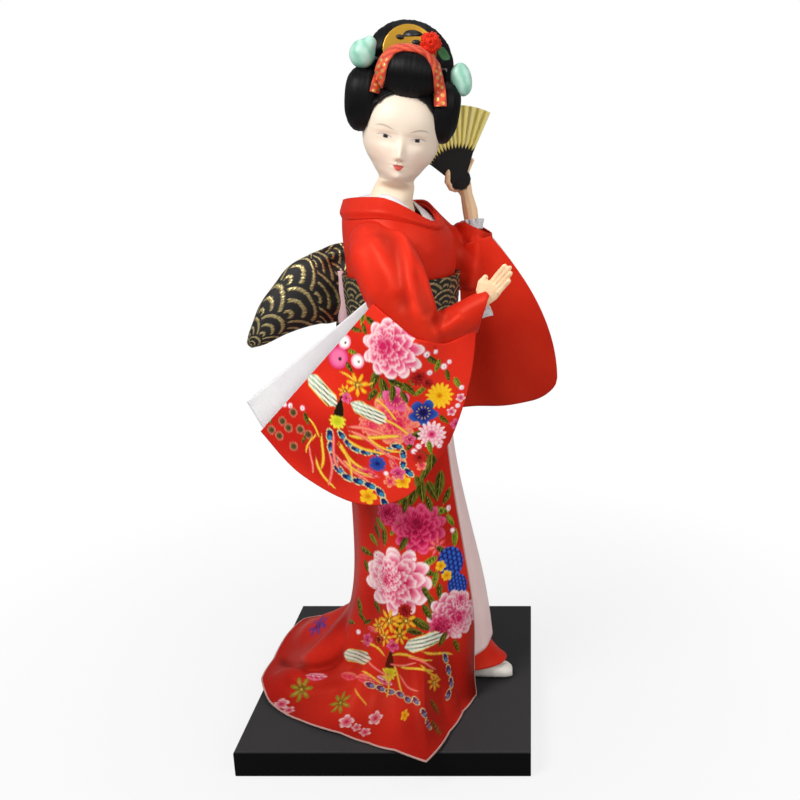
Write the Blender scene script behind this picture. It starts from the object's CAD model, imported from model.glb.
"""Dressed model of a geisha doll that stands on a lacquered base.

Sizes in the tables below are millimetres in the doll's frame: +X the way the toes point, +Y away
from the side the face looks to, heights from the top of the base. Head pieces use the head's own
frame, whose origin is the foot of the neck, with the face towards -Y.
"""
from __future__ import annotations

import logging
import math
from contextlib import contextmanager
from dataclasses import dataclass, field, replace
from enum import Enum
from typing import Callable, Iterator, Sequence

import bmesh
import bpy
import numpy as np
from mathutils import Matrix, Vector

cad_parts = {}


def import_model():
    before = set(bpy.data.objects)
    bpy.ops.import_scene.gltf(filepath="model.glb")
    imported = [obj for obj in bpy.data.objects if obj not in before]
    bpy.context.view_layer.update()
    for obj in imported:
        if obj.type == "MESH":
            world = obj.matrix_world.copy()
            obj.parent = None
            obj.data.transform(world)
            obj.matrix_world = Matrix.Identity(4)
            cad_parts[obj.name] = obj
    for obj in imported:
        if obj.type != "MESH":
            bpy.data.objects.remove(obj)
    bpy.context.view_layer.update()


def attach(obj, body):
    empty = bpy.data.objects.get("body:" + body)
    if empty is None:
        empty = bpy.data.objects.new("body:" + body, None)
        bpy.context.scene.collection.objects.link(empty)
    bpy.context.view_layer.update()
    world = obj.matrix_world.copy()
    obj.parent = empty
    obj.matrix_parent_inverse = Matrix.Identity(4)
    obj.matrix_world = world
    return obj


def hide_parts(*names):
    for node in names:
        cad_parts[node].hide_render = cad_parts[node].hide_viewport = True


LOG = logging.getLogger("geisha_doll")
Array = np.ndarray
Mesh = bpy.types.Mesh
Object = bpy.types.Object
Material = bpy.types.Material
Socket = bpy.types.NodeSocket
Shape = bmesh.types.BMesh
Place = Callable[[Array, Array], Array]
Laid = tuple[Mesh, Array, Array]

# top of the base above its underside, and heights above that
BASE_TOP = 12.0
WAIST = 168.0
SHOULDER = 203.0
# thickness of a layer of cloth and the air under it
CLOTH = 1.0
GAP = 0.3
# middle of a cloth that lies on the base
LYING = GAP + CLOTH / 2 + 0.1
# the chest's axis stands a little forward and the chest is turned to the viewer
CHEST_X = 7.0
CHEST_TURN = math.radians(25)
FORWARD = np.array([math.cos(CHEST_TURN), -math.sin(CHEST_TURN), 0.0])
RIGHT = np.array([-math.sin(CHEST_TURN), -math.cos(CHEST_TURN), 0.0])
# the chin and the crown in the head's frame, and the head's place on the doll
CHIN = 12.5
CROWN = 50.5
HEAD_TILT = Matrix.Rotation(math.radians(9), 4, "Y") @ Matrix.Rotation(math.radians(8), 4, "Z")
HEAD_PLACE = Matrix.Translation((4.8, -1.0, 213.0)) @ HEAD_TILT


class Body(Enum):
    """The bodies that pieces move with."""

    DOLL = "doll_body"
    HEAD = "head"
    PIN_RIGHT = "hairpin_right"
    PIN_LEFT = "hairpin_left"
    ARM_RIGHT = "arm_right"
    ARM_LEFT = "arm_left"


class Slot(Enum):
    """The record's material slots that dressed pieces use."""

    FACE = "face"
    FLESH = "flesh"
    TABI = "tabi"
    HAIR = "hair"
    GILT = "gilt"
    SATIN = "satin"
    RIBBON = "ribbon"
    PRINT = "print"
    BROCADE = "brocade"
    PINK = "pink"
    ROSE = "rose"
    WHITE = "white"
    JADE = "jade"
    LEAF = "leaf"
    PAPER = "paper"


def linear(code: str) -> tuple[float, float, float]:
    """Turn an sRGB hex colour into linear light.

    Args:
        code: Colour such as "#D9261A".

    Returns:
        Red, green and blue in linear light.
    """
    parts = [int(code[i : i + 2], 16) / 255 for i in (1, 3, 5)]
    return tuple(c / 12.92 if c <= 0.04045 else ((c + 0.055) / 1.055) ** 2.4 for c in parts)


def rgba(code: str) -> tuple[float, float, float, float]:
    """A hex colour as the four numbers of a shader socket."""
    return (*linear(code), 1.0)


def dye(code: str) -> Array:
    """A hex colour as an array of linear light."""
    return np.array(linear(code))


def bell(x: Array, middle: float, width: float) -> Array:
    """A smooth hump of height 1."""
    return np.exp(-0.5 * ((x - middle) / width) ** 2)


def smooth(x: Array, low: float, high: float) -> Array:
    """A smooth step from 0 at low to 1 at high."""
    t = np.clip((x - low) / (high - low), 0.0, 1.0)
    return t * t * (3 - 2 * t)


def mix(a: Array, b: Array, share: Array) -> Array:
    """The value a share of the way from a to b."""
    return a + (b - a) * share


def blend(a: Array, b: Array, share: Array) -> Array:
    """Rows a share of the way from a to b, one share per row."""
    return mix(a, b, share[:, None])


def stack(x: Array, y: Array, z: Array) -> Array:
    """Points from three coordinate arrays."""
    return np.stack(np.broadcast_arrays(x, y, z), axis=-1).astype(float)


def spline(knots: Sequence[float], values: Sequence, x: Array) -> Array:
    """A smooth curve through values at knots.

    Args:
        knots: Increasing places of the values.
        values: One number or one row of numbers per knot.
        x: Where to read the curve.

    Returns:
        The curve's values, one row per place.
    """
    k = np.asarray(knots, float)
    rows = np.asarray(values, float)
    rows = rows[:, None] if rows.ndim == 1 else rows
    slope = np.gradient(rows, k, axis=0)
    x = np.clip(np.asarray(x, float), k[0], k[-1])
    i = np.clip(np.searchsorted(k, x, side="right") - 1, 0, len(k) - 2)
    h = (k[i + 1] - k[i])[..., None]
    t = ((x - k[i]) / (k[i + 1] - k[i]))[..., None]
    made = (
        (2 * t**3 - 3 * t**2 + 1) * rows[i]
        + (t**3 - 2 * t**2 + t) * h * slope[i]
        + (3 * t**2 - 2 * t**3) * rows[i + 1]
        + (t**3 - t**2) * h * slope[i + 1]
    )
    return made[..., 0] if np.asarray(values).ndim == 1 else made


def bezier(v: Array) -> tuple[Array, Array, Array, Array]:
    """The weights of a cubic curve's four control values."""
    return (1 - v) ** 3, 3 * v * (1 - v) ** 2, 3 * v * v * (1 - v), v**3


def chest(forward: Array, right: Array, height: Array) -> Array:
    """Points given forward of and to the right of the chest's axis."""
    flat = np.asarray(forward)[..., None] * FORWARD + np.asarray(right)[..., None] * RIGHT
    return flat + stack(np.full(np.shape(forward), CHEST_X), 0.0, height)


def normals_of(place: Place, u: Array, v: Array, step: float = 2e-3) -> Array:
    """Unit normals of a surface, from its slopes.

    Args:
        place: The surface.
        u: Shares across it.
        v: Shares down it.
        step: Half the distance, in shares, that a slope is taken over.

    Returns:
        One unit normal per place.
    """
    along_u = place(u + step, v) - place(u - step, v)
    along_v = place(u, np.clip(v + step, 0, 1)) - place(u, np.clip(v - step, 0, 1))
    n = np.cross(along_u, along_v)
    return n / np.maximum(np.linalg.norm(n, axis=-1, keepdims=True), 1e-9)


def to_world(points: Array) -> Array:
    """Doll millimetres to metres in the shared frame."""
    return (points + np.array([0.0, 0.0, BASE_TOP])) / 1000.0


def to_doll(points: Array) -> Array:
    """Metres in the shared frame to doll millimetres."""
    return points * 1000.0 - np.array([0.0, 0.0, BASE_TOP])


def coordinates(mesh: Mesh) -> Array:
    """A mesh's vertex places.

    Args:
        mesh: The mesh.

    Returns:
        One row of metres per vertex.
    """
    flat = np.empty(len(mesh.vertices) * 3, np.float32)
    mesh.vertices.foreach_get("co", flat)
    return flat.reshape(-1, 3).astype(float)


def vertex_normals(mesh: Mesh) -> Array:
    """A mesh's vertex normals.

    Args:
        mesh: The mesh.

    Returns:
        One unit normal per vertex.
    """
    flat = np.empty(len(mesh.vertices) * 3, np.float32)
    mesh.vertex_normals.foreach_get("vector", flat)
    return flat.reshape(-1, 3).astype(float)


def place_vertices(mesh: Mesh, points: Array) -> None:
    """Move a mesh's vertices to the given places."""
    mesh.vertices.foreach_set("co", points.astype(np.float32).ravel())
    mesh.update()


def raise_skin(mesh: Mesh, lift: Array) -> None:
    """Lift each vertex along its normal by its own millimetres."""
    points = to_doll(coordinates(mesh))
    place_vertices(mesh, to_world(points + vertex_normals(mesh) * lift[:, None]))


def made_mesh(name: str, shape: Shape) -> Mesh:
    """Turn a working shape into a mesh and drop the shape.

    Args:
        name: Name of the mesh.
        shape: The shape, which is used up.

    Returns:
        The mesh.
    """
    mesh = bpy.data.meshes.new(name)
    shape.to_mesh(mesh)
    shape.free()
    return mesh


@contextmanager
def reshaped(mesh: Mesh) -> Iterator[Shape]:
    """Open a mesh for mesh operators and write the result back.

    Args:
        mesh: The mesh.

    Returns:
        The shape to work on, for a with block.
    """
    shape = bmesh.new()
    shape.from_mesh(mesh)
    yield shape
    shape.to_mesh(mesh)
    shape.free()


def cut_off(shape: Shape, at: Sequence[float], way: Sequence[float]) -> None:
    """Cut away what lies past a plane."""
    geometry = shape.verts[:] + shape.edges[:] + shape.faces[:]
    bmesh.ops.bisect_plane(shape, geom=geometry, plane_co=at, plane_no=way, clear_outer=True)


def paint(mesh: Mesh, name: str, colours: Array) -> None:
    """Store one linear colour per vertex under a name.

    Args:
        mesh: The mesh.
        name: Name of the layer.
        colours: One linear colour per vertex.
    """
    layer = mesh.attributes.new(name, "FLOAT_COLOR", "POINT")
    full = np.concatenate([colours, np.ones((len(colours), 1))], axis=1)
    layer.data.foreach_set("color", full.astype(np.float32).ravel())


def weigh(mesh: Mesh, name: str, values: Array) -> None:
    """Store one number per vertex under a name."""
    layer = mesh.attributes.new(name, "FLOAT", "POINT")
    layer.data.foreach_set("value", values.astype(np.float32))


def grid_mesh(
    name: str,
    place: Place,
    across: int,
    down: int,
    flat: tuple[float, float],
    joined: bool = False,
    capped: bool = False,
    inside: Array | None = None,
) -> Laid:
    """A grid laid on a surface.

    Args:
        name: Name of the mesh.
        place: Surface, from shares across and down to doll millimetres.
        across: Faces across.
        down: Faces down.
        flat: Size of the cloth in millimetres, for its thread map.
        joined: Whether the two side edges meet.
        capped: Whether the open ends are closed.
        inside: A point that the faces look away from.

    Returns:
        The mesh, and each vertex's shares across and down.
    """
    shape = bmesh.new()
    thread = shape.loops.layers.uv.new("Thread")
    bmesh.ops.create_grid(shape, x_segments=across, y_segments=down, size=0.5)
    share = shape.verts.layers.float_vector.new("share")
    for vert in shape.verts:
        vert[share] = (vert.co.x + 0.5, vert.co.y + 0.5, 0.0)
    for face in shape.faces:
        for corner in face.loops:
            at = corner.vert[share]
            corner[thread].uv = (at[0] * flat[0] / 1000.0, at[1] * flat[1] / 1000.0)
    flat_at = np.array([vert.co[:] for vert in shape.verts]) + 0.5
    laid = to_world(place(flat_at[:, 0], flat_at[:, 1]))
    for vert, at in zip(shape.verts, laid):
        vert.co = at
    if joined:
        bmesh.ops.remove_doubles(shape, verts=shape.verts[:], dist=2e-6)
    if capped:
        rim = [edge for edge in shape.edges if edge.is_boundary]
        bmesh.ops.holes_fill(shape, edges=rim, sides=0)
        bmesh.ops.recalc_face_normals(shape, faces=shape.faces[:])
    if inside is not None:
        middle = Vector(to_world(inside))
        shape.normal_update()
        outward = sum(f.normal.dot(f.calc_center_median() - middle) * f.calc_area() for f in shape.faces)
        if outward < 0:
            bmesh.ops.reverse_faces(shape, faces=shape.faces[:])
    mesh = made_mesh(name, shape)
    values = np.empty(len(mesh.vertices) * 3, np.float32)
    mesh.attributes["share"].data.foreach_get("vector", values)
    values = values.reshape(-1, 3).astype(float)
    mesh.attributes.remove(mesh.attributes["share"])
    return mesh, values[:, 0], values[:, 1]


def finished(obj: Object) -> Object:
    """Apply an object's modifiers to its mesh.

    Args:
        obj: The piece.

    Returns:
        The same piece.
    """
    ready = obj.evaluated_get(bpy.context.evaluated_depsgraph_get())
    mesh = bpy.data.meshes.new_from_object(ready)
    old = obj.data
    obj.modifiers.clear()
    obj.data = mesh
    mesh.name = obj.name
    bpy.data.meshes.remove(old)
    return obj


def show(
    name: str,
    mesh: Mesh,
    body: Body | None,
    finishes: Sequence[Material],
    nodes: Sequence[str] = (),
) -> Object:
    """Put a piece in the scene.

    Args:
        name: Piece name.
        mesh: Its mesh, in metres in the shared frame.
        body: The body it rides on, or none where it is blended later.
        finishes: Its materials.
        nodes: The solids that it stands for.

    Returns:
        The new object.
    """
    obj = bpy.data.objects.new(name, mesh)
    bpy.context.scene.collection.objects.link(obj)
    mesh.materials.clear()
    for finish in finishes:
        mesh.materials.append(finish)
    mesh.shade_smooth()
    if body is not None:
        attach(obj, body.value)
    if nodes:
        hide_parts(*nodes)
    LOG.info("%s: %d faces", name, len(mesh.polygons))
    return obj


def thicken(obj: Object, thick: float, offset: float = 0.0, lining: int = 0, rim: int = 0) -> None:
    """Give a sheet its thickness in millimetres, with its lining's and rim's material steps.

    Args:
        obj: The sheet.
        thick: Thickness in millimetres.
        offset: Side that it grows to: -1 inwards, 0 both ways, 1 outwards.
        lining: Materials to step on for the other side.
        rim: Materials to step on for the edge.
    """
    wall = obj.modifiers.new("Thickness", "SOLIDIFY")
    wall.thickness = thick / 1000.0
    wall.offset = offset
    wall.material_offset = lining
    wall.material_offset_rim = rim


def softened(name: str, sources: Sequence[Mesh], voxel: float, rounds: int) -> Mesh:
    """One smooth skin over several closed meshes.

    Args:
        name: Name of the new mesh.
        sources: Closed meshes in metres.
        voxel: Size of the skin's cells in millimetres.
        rounds: How many times the skin is smoothed.

    Returns:
        The skin.
    """
    shape = bmesh.new()
    for source in sources:
        shape.from_mesh(source)
    bmesh.ops.remove_doubles(shape, verts=shape.verts[:], dist=1e-6)
    obj = bpy.data.objects.new(name + "_work", made_mesh(name, shape))
    bpy.context.scene.collection.objects.link(obj)
    skin = obj.modifiers.new("Skin", "REMESH")
    skin.mode = "VOXEL"
    skin.voxel_size = voxel / 1000.0
    even = obj.modifiers.new("Even", "SMOOTH")
    even.iterations = rounds
    even.factor = 0.5
    finished(obj)
    made = obj.data
    bpy.data.objects.remove(obj)
    return made


@dataclass(frozen=True)
class Fold:
    """A ridge or hollow in cloth along a line of points, in doll millimetres."""

    path: tuple[tuple[float, float, float], ...]
    width: float
    height: float

    def lift(self, points: Array) -> Array:
        """How far each point is lifted along its normal.

        Args:
            points: Places in doll millimetres.

        Returns:
            One lift in millimetres per place.
        """
        best, along = np.full(len(points), 1e9), np.zeros(len(points))
        count = len(self.path) - 1
        for i in range(count):
            a, b = np.array(self.path[i]), np.array(self.path[i + 1])
            t = np.clip(((points - a) @ (b - a)) / ((b - a) @ (b - a)), 0.0, 1.0)
            away = np.linalg.norm(points - (a + t[:, None] * (b - a)), axis=1)
            along = np.where(away < best, (i + t) / count, along)
            best = np.minimum(away, best)
        taper = 0.2 + 0.8 * smooth(along, 0.0, 0.15) * (1 - smooth(along, 0.85, 1.0))
        return self.height * bell(best, 0.0, self.width) * taper


def creases(points: Array, scale: float, height: float, seed: int) -> Array:
    """Soft random creases: a sum of slanting waves with seeded directions.

    Args:
        points: Places in doll millimetres.
        scale: Distance between creases in millimetres.
        height: Height of the creases in millimetres.
        seed: Seed of the draw.

    Returns:
        One lift in millimetres per place.
    """
    waves = 7
    draw = np.random.default_rng(seed)
    made = np.zeros(len(points))
    for _ in range(waves):
        way = draw.normal(size=3)
        way /= np.linalg.norm(way)
        wave = scale * draw.uniform(0.6, 1.7)
        made += np.sin(points @ way * 2 * math.pi / wave + draw.uniform(0, 6.28))
    return height * made / waves


def add_node(
    tree: bpy.types.NodeTree, kind: str, links: dict | None = None, **settings: object
) -> bpy.types.Node:
    """Add one shader node.

    Args:
        tree: The material's node tree.
        kind: Node type name.
        links: Input name or number to a value or to another node's output.
        settings: Properties of the node.

    Returns:
        The node.
    """
    made = tree.nodes.new(kind)
    for name, value in settings.items():
        setattr(made, name, value)
    for key, value in (links or {}).items():
        if isinstance(value, Socket):
            tree.links.new(value, made.inputs[key])
        else:
            made.inputs[key].default_value = value
    return made


@dataclass
class Finish:
    """A material that starts from a bare shader and the place on the piece."""

    name: str
    material: Material = field(init=False)
    shader: bpy.types.Node = field(init=False)
    where: Socket = field(init=False)

    def __post_init__(self) -> None:
        """Make the material with one principled shader."""
        self.material = bpy.data.materials.new(self.name)
        self.material.use_nodes = True
        self.tree.nodes.clear()
        self.shader = self.node("ShaderNodeBsdfPrincipled")
        self.node("ShaderNodeOutputMaterial", {"Surface": self.shader.outputs["BSDF"]})
        self.where = self.node("ShaderNodeTexCoord").outputs["Object"]

    @property
    def tree(self) -> bpy.types.NodeTree:
        """The material's node tree."""
        return self.material.node_tree

    def node(self, kind: str, links: dict | None = None, **settings: object) -> bpy.types.Node:
        """Add a node to this material."""
        return add_node(self.tree, kind, links, **settings)

    def set(self, **sockets: object) -> None:
        """Set or link shader sockets, with _ for a space in their names."""
        for key, value in sockets.items():
            socket = self.shader.inputs[key.replace("_", " ")]
            if isinstance(value, Socket):
                self.tree.links.new(value, socket)
            else:
                socket.default_value = value

    def bump(self, height: Socket, depth: float) -> None:
        """Raise the surface by a height pattern, depth in millimetres."""
        made = self.node("ShaderNodeBump", {"Height": height, "Strength": 1.0, "Distance": depth / 1000.0})
        self.set(Normal=made.outputs["Normal"])

    def grain(self, scale: float, detail: float, depth: float) -> None:
        """Roughen the surface with a fine random grain.

        Args:
            scale: Grains in a metre.
            detail: Finer octaves in the grain.
            depth: Height of the grain in millimetres.
        """
        noise = self.node("ShaderNodeTexNoise", {"Vector": self.where, "Scale": scale, "Detail": detail})
        self.bump(noise.outputs["Fac"], depth)

    def drift(self, first: str, second: str, scale: float, detail: float) -> tuple[Socket, Socket]:
        """Let two tones drift into each other.

        Args:
            first: Hex colour where the drift is low.
            second: Hex colour where it is high.
            scale: Clouds in a metre.
            detail: Finer octaves in the clouds.

        Returns:
            The colour, and the share of the second tone.
        """
        noise = self.node("ShaderNodeTexNoise", {"Vector": self.where, "Scale": scale, "Detail": detail})
        share = noise.outputs["Fac"]
        tones = self.node("ShaderNodeMix", {0: share, 6: rgba(first), 7: rgba(second)}, data_type="RGBA")
        return tones.outputs[2], share


class Palette:
    """All finishes of the doll, made once."""

    def __init__(self) -> None:
        """Make every material."""
        self.satin = self.satin_cloth("red_polyester_satin", ("#C21A0E", "#E0331C"), 0.42)
        self.print = self.satin_cloth("printed_polyester_satin", None, 0.2)
        self.pink = self.lining_silk("pale_pink_habotai", "#F6DCD8", "#EBC4C0")
        self.white = self.lining_silk("white_habotai", "#F1EFEE", "#DAD6DA")
        self.rose = self.lining_silk("pink_crepe", "#EBC9CC", "#D8A8B0")
        self.piping = self.lining_silk("pale_piping", "#C0948A", "#A87870")
        self.lining = self.lining_silk("red_lining", "#A3201A", "#8A1814")
        self.brocade = self.metal_brocade()
        self.lacquer = self.black_lacquer()
        self.face = self.painted_face()
        self.flesh = self.moulded_flesh()
        self.hair = self.nylon_hair()
        self.tabi = self.cotton("white_cotton_tabi", "#EFEAE2", "#DDD5CA")
        self.padding = self.cotton("cotton_wadding", "#E9E2D6", "#D8CFC0")
        self.gilt = self.gilt_plastic()
        self.jade = self.jade_plastic()
        self.ribbon = self.ribbon_cloth()
        self.leaf = self.cotton("stiffened_green_cloth", "#3F7A45", "#2C5A34")
        self.paper = self.gold_paper()
        self.ebony = self.black_plastic()
        self.steel = self.wire_steel()

    def satin_cloth(self, name: str, dyes: tuple[str, str] | None, gloss: float) -> Material:
        """Polyester satin, woven with long floats: a soft broad gloss and fine lines along the weft.

        Args:
            name: Material name.
            dyes: Dye in the hollows and on the ridges, or none where the cloth is printed.
            gloss: Strength of the shine.

        Returns:
            The material.
        """
        made = Finish(name)
        # floats about 0.12 mm apart, drawn three times coarser so that they show
        floats = made.node("ShaderNodeMapping", {"Vector": made.where, "Scale": (900.0, 900.0, 2600.0)})
        weft = made.node("ShaderNodeTexNoise", {
            "Vector": floats.outputs["Vector"], "Scale": 1.0, "Detail": 2.0})
        noise = made.node("ShaderNodeTexNoise", {"Vector": made.where, "Scale": 60.0, "Detail": 3.0})
        cloud = noise.outputs["Fac"]
        if dyes is None:
            ink = made.node("ShaderNodeAttribute", attribute_name="print").outputs["Color"]
            base = made.node("ShaderNodeMix", {0: 0.16, 6: ink, 7: weft.outputs["Fac"]},
                             data_type="RGBA", blend_type="OVERLAY").outputs[2]
        else:
            base = made.node("ShaderNodeMix", {0: cloud, 6: rgba(dyes[0]), 7: rgba(dyes[1])},
                             data_type="RGBA").outputs[2]
        fold = made.node("ShaderNodeAttribute", attribute_name="fold").outputs["Fac"]
        ridge = made.node("ShaderNodeMath", {0: fold, 1: 0.4, 2: 1.0}, operation="MULTIPLY_ADD")
        lit = made.node("ShaderNodeVectorMath", {0: base, "Scale": ridge.outputs[0]}, operation="SCALE")
        rough = made.node("ShaderNodeMapRange", {0: cloud, 3: 0.36, 4: 0.5})
        made.set(Base_Color=lit.outputs["Vector"], Roughness=rough.outputs[0], Specular_IOR_Level=gloss,
                 Specular_Tint=rgba("#FF8C70"), Sheen_Weight=0.1, Sheen_Roughness=0.35,
                 Sheen_Tint=rgba("#FF6A48"), Anisotropic=0.4)
        made.bump(weft.outputs["Fac"], 0.06)
        return made.material

    def lining_silk(self, name: str, light: str, deep: str) -> Material:
        """Thin plain-woven lining: matt, with a faint grid of threads.

        Args:
            name: Material name.
            light: Colour of the ridges.
            deep: Colour of the hollows.

        Returns:
            The material.
        """
        made = Finish(name)
        # threads 0.3 mm apart, drawn at 0.6 mm
        weave = made.node("ShaderNodeTexChecker", {"Vector": made.where, "Scale": 1600.0})
        tone, _ = made.drift(light, deep, 90.0, 4.0)
        made.set(Base_Color=tone, Roughness=0.62, Sheen_Weight=0.25, Sheen_Roughness=0.4)
        made.bump(weave.outputs["Fac"], 0.05)
        return made.material

    def cotton(self, name: str, light: str, deep: str) -> Material:
        """Plain cotton: quite matt, slightly uneven.

        Args:
            name: Material name.
            light: Colour of the ridges.
            deep: Colour of the hollows.

        Returns:
            The material.
        """
        made = Finish(name)
        tone, _ = made.drift(light, deep, 120.0, 3.0)
        made.set(Base_Color=tone, Roughness=0.82, Sheen_Weight=0.15)
        # fibres and yarn about 0.7 mm across
        made.grain(1400.0, 3.0, 0.12)
        return made.material

    def metal_brocade(self) -> Material:
        """Black silk brocade with gold-foil thread: the waves stand up and glint, the ground is dull.

        Returns:
            The material.
        """
        made = Finish("gold_thread_brocade")
        ink = made.node("ShaderNodeAttribute", attribute_name="print").outputs["Color"]
        gold = made.node("ShaderNodeAttribute", attribute_name="gold").outputs["Fac"]
        # foil threads 0.4 mm apart, drawn at 0.7 mm
        foil = made.node("ShaderNodeTexNoise", {"Vector": made.where, "Scale": 1400.0, "Detail": 1.0})
        rough = made.node("ShaderNodeMapRange", {0: gold, 3: 0.7, 4: 0.36})
        metal = made.node("ShaderNodeMapRange", {0: gold, 3: 0.0, 4: 0.8})
        relief = made.node("ShaderNodeMath", {0: gold, 1: foil.outputs["Fac"]}, operation="MULTIPLY")
        made.set(Base_Color=ink, Roughness=rough.outputs[0], Metallic=metal.outputs[0])
        made.bump(relief.outputs[0], 0.35)
        return made.material

    def black_lacquer(self) -> Material:
        """Sprayed black lacquer on wood: dark clean sides, and a greyer top under fine dust.

        Returns:
            The material.
        """
        made = Finish("black_lacquer")
        dusty, cloud = made.drift("#323132", "#3A393A", 18.0, 4.0)
        height = made.node("ShaderNodeSeparateXYZ", {0: made.where}).outputs["Z"]
        # dust settles on the top face, 12 mm up, and leaves the sides clean
        settled = made.node("ShaderNodeMapRange", {0: height, 1: 0.0112, 2: 0.0119})
        tone = made.node("ShaderNodeMix", {
            0: settled.outputs[0], 6: rgba("#050505"), 7: dusty}, data_type="RGBA")
        rough = made.node("ShaderNodeMapRange", {0: cloud, 1: 0.3, 2: 0.7, 3: 0.24, 4: 0.4})
        made.set(Base_Color=tone.outputs[2], Roughness=rough.outputs[0], Specular_IOR_Level=0.06)
        made.grain(700.0, 5.0, 0.02)
        return made.material

    def painted_face(self) -> Material:
        """Moulded composition with hand-painted features: cream, softly lit from inside, satin.

        Returns:
            The material.
        """
        made = Finish("painted_composition")
        ink = made.node("ShaderNodeAttribute", attribute_name="paint").outputs["Color"]
        made.set(Base_Color=ink, Roughness=0.48, Subsurface_Weight=0.12, Subsurface_Scale=1.0,
                 Subsurface_Radius=(0.0012, 0.0008, 0.0006), Coat_Weight=0.06, Coat_Roughness=0.35)
        made.grain(900.0, 2.0, 0.012)
        return made.material

    def moulded_flesh(self) -> Material:
        """Moulded soft plastic hands: peach, a little uneven, softly lit from inside.

        Returns:
            The material.
        """
        made = Finish("moulded_flesh")
        tone, _ = made.drift("#FFDCB4", "#F8C494", 130.0, 3.0)
        made.set(Base_Color=tone, Roughness=0.45, Subsurface_Weight=0.15, Subsurface_Scale=1.0,
                 Subsurface_Radius=(0.0015, 0.0007, 0.0004))
        return made.material

    def nylon_hair(self) -> Material:
        """Combed black nylon fibre: near black, a long streaky gloss across the strands.

        Returns:
            The material.
        """
        made = Finish("black_nylon_hair")
        strand = made.node("ShaderNodeUVMap", uv_map="Thread").outputs["UV"]
        # strands about 0.1 mm across, drawn at 0.35 mm
        combed = made.node("ShaderNodeMapping", {"Vector": strand, "Scale": (2800.0, 60.0, 1.0)})
        noise = made.node("ShaderNodeTexNoise", {
            "Vector": combed.outputs["Vector"], "Scale": 1.0, "Detail": 3.0})
        fibre = noise.outputs["Fac"]
        tone = made.node("ShaderNodeMix", {
            0: fibre, 6: rgba("#040304"), 7: rgba("#0C0A0D")}, data_type="RGBA")
        rough = made.node("ShaderNodeMapRange", {0: fibre, 3: 0.4, 4: 0.6})
        made.set(Base_Color=tone.outputs[2], Roughness=rough.outputs[0])
        made.set(Specular_IOR_Level=0.16, Anisotropic=0.6)
        made.bump(fibre, 0.16)
        return made.material

    def gilt_plastic(self) -> Material:
        """Vacuum-gilt plastic: yellow metal with a slightly uneven face.

        Returns:
            The material.
        """
        made = Finish("gilt_plastic")
        tone, cloud = made.drift("#D9A83A", "#B8862A", 260.0, 3.0)
        made.set(Base_Color=tone, Metallic=0.75, Roughness=0.38)
        made.bump(cloud, 0.05)
        return made.material

    def jade_plastic(self) -> Material:
        """Mint plastic with a pearly swirl under a clear gloss.

        Returns:
            The material.
        """
        made = Finish("mint_pearl_plastic")
        swirl = made.node("ShaderNodeTexWave", {"Vector": made.where, "Scale": 60.0, "Distortion": 9.0,
                                                "Detail": 3.0, "Detail Scale": 1.4}).outputs["Fac"]
        tone = made.node("ShaderNodeMix", {
            0: swirl, 6: rgba("#8CC5AE"), 7: rgba("#B4DCCB")}, data_type="RGBA")
        made.set(Base_Color=tone.outputs[2], Roughness=0.42, Coat_Weight=0.15, Coat_Roughness=0.2,
                 Subsurface_Weight=0.2, Subsurface_Scale=1.0, Subsurface_Radius=(0.001, 0.0014, 0.0012))
        made.bump(swirl, 0.08)
        return made.material

    def ribbon_cloth(self) -> Material:
        """Red ribbon printed with gold dots in two rows.

        Returns:
            The material.
        """
        made = Finish("gold_dotted_ribbon")
        ink = made.node("ShaderNodeAttribute", attribute_name="print").outputs["Color"]
        gold = made.node("ShaderNodeAttribute", attribute_name="gold").outputs["Fac"]
        rough = made.node("ShaderNodeMapRange", {0: gold, 3: 0.55, 4: 0.3})
        metal = made.node("ShaderNodeMapRange", {0: gold, 3: 0.0, 4: 0.7})
        made.set(Base_Color=ink, Roughness=rough.outputs[0], Metallic=metal.outputs[0], Sheen_Weight=0.15)
        made.grain(1500.0, 2.0, 0.06)
        return made.material

    def gold_paper(self) -> Material:
        """Gold-printed paper: dull yellow, lighter along the folds.

        Returns:
            The material.
        """
        made = Finish("gold_fan_paper")
        ink = made.node("ShaderNodeAttribute", attribute_name="print").outputs["Color"]
        made.set(Base_Color=ink, Roughness=0.5, Metallic=0.05)
        made.grain(900.0, 4.0, 0.03)
        return made.material

    def black_plastic(self) -> Material:
        """Moulded black plastic: low gloss with a fine moulded grain.

        Returns:
            The material.
        """
        made = Finish("black_moulded_plastic")
        tone, grain = made.drift("#0A0809", "#151214", 1100.0, 2.0)
        made.set(Base_Color=tone, Roughness=0.42)
        made.bump(grain, 0.03)
        return made.material

    def wire_steel(self) -> Material:
        """Drawn steel wire: bright, with a gloss that the die's lines make uneven.

        Returns:
            The material.
        """
        made = Finish("drawn_steel_wire")
        line = made.node("ShaderNodeTexNoise", {"Vector": made.where, "Scale": 800.0, "Detail": 2.0})
        rough = made.node("ShaderNodeMapRange", {0: line.outputs["Fac"], 3: 0.25, 4: 0.45})
        made.set(Base_Color=rgba("#B9BBC0"), Metallic=1.0, Roughness=rough.outputs[0])
        return made.material


class Bloom(Enum):
    """The figures printed on the robe."""

    PEONY = "peony"
    DAISY = "daisy"
    PLUM = "plum"
    STAR = "star"
    CLUSTER = "cluster"
    LEAF = "leaf"
    WING = "wing"
    PLUME = "plume"
    BIRD = "bird"
    BALL = "ball"
    EYE = "eye"


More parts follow.
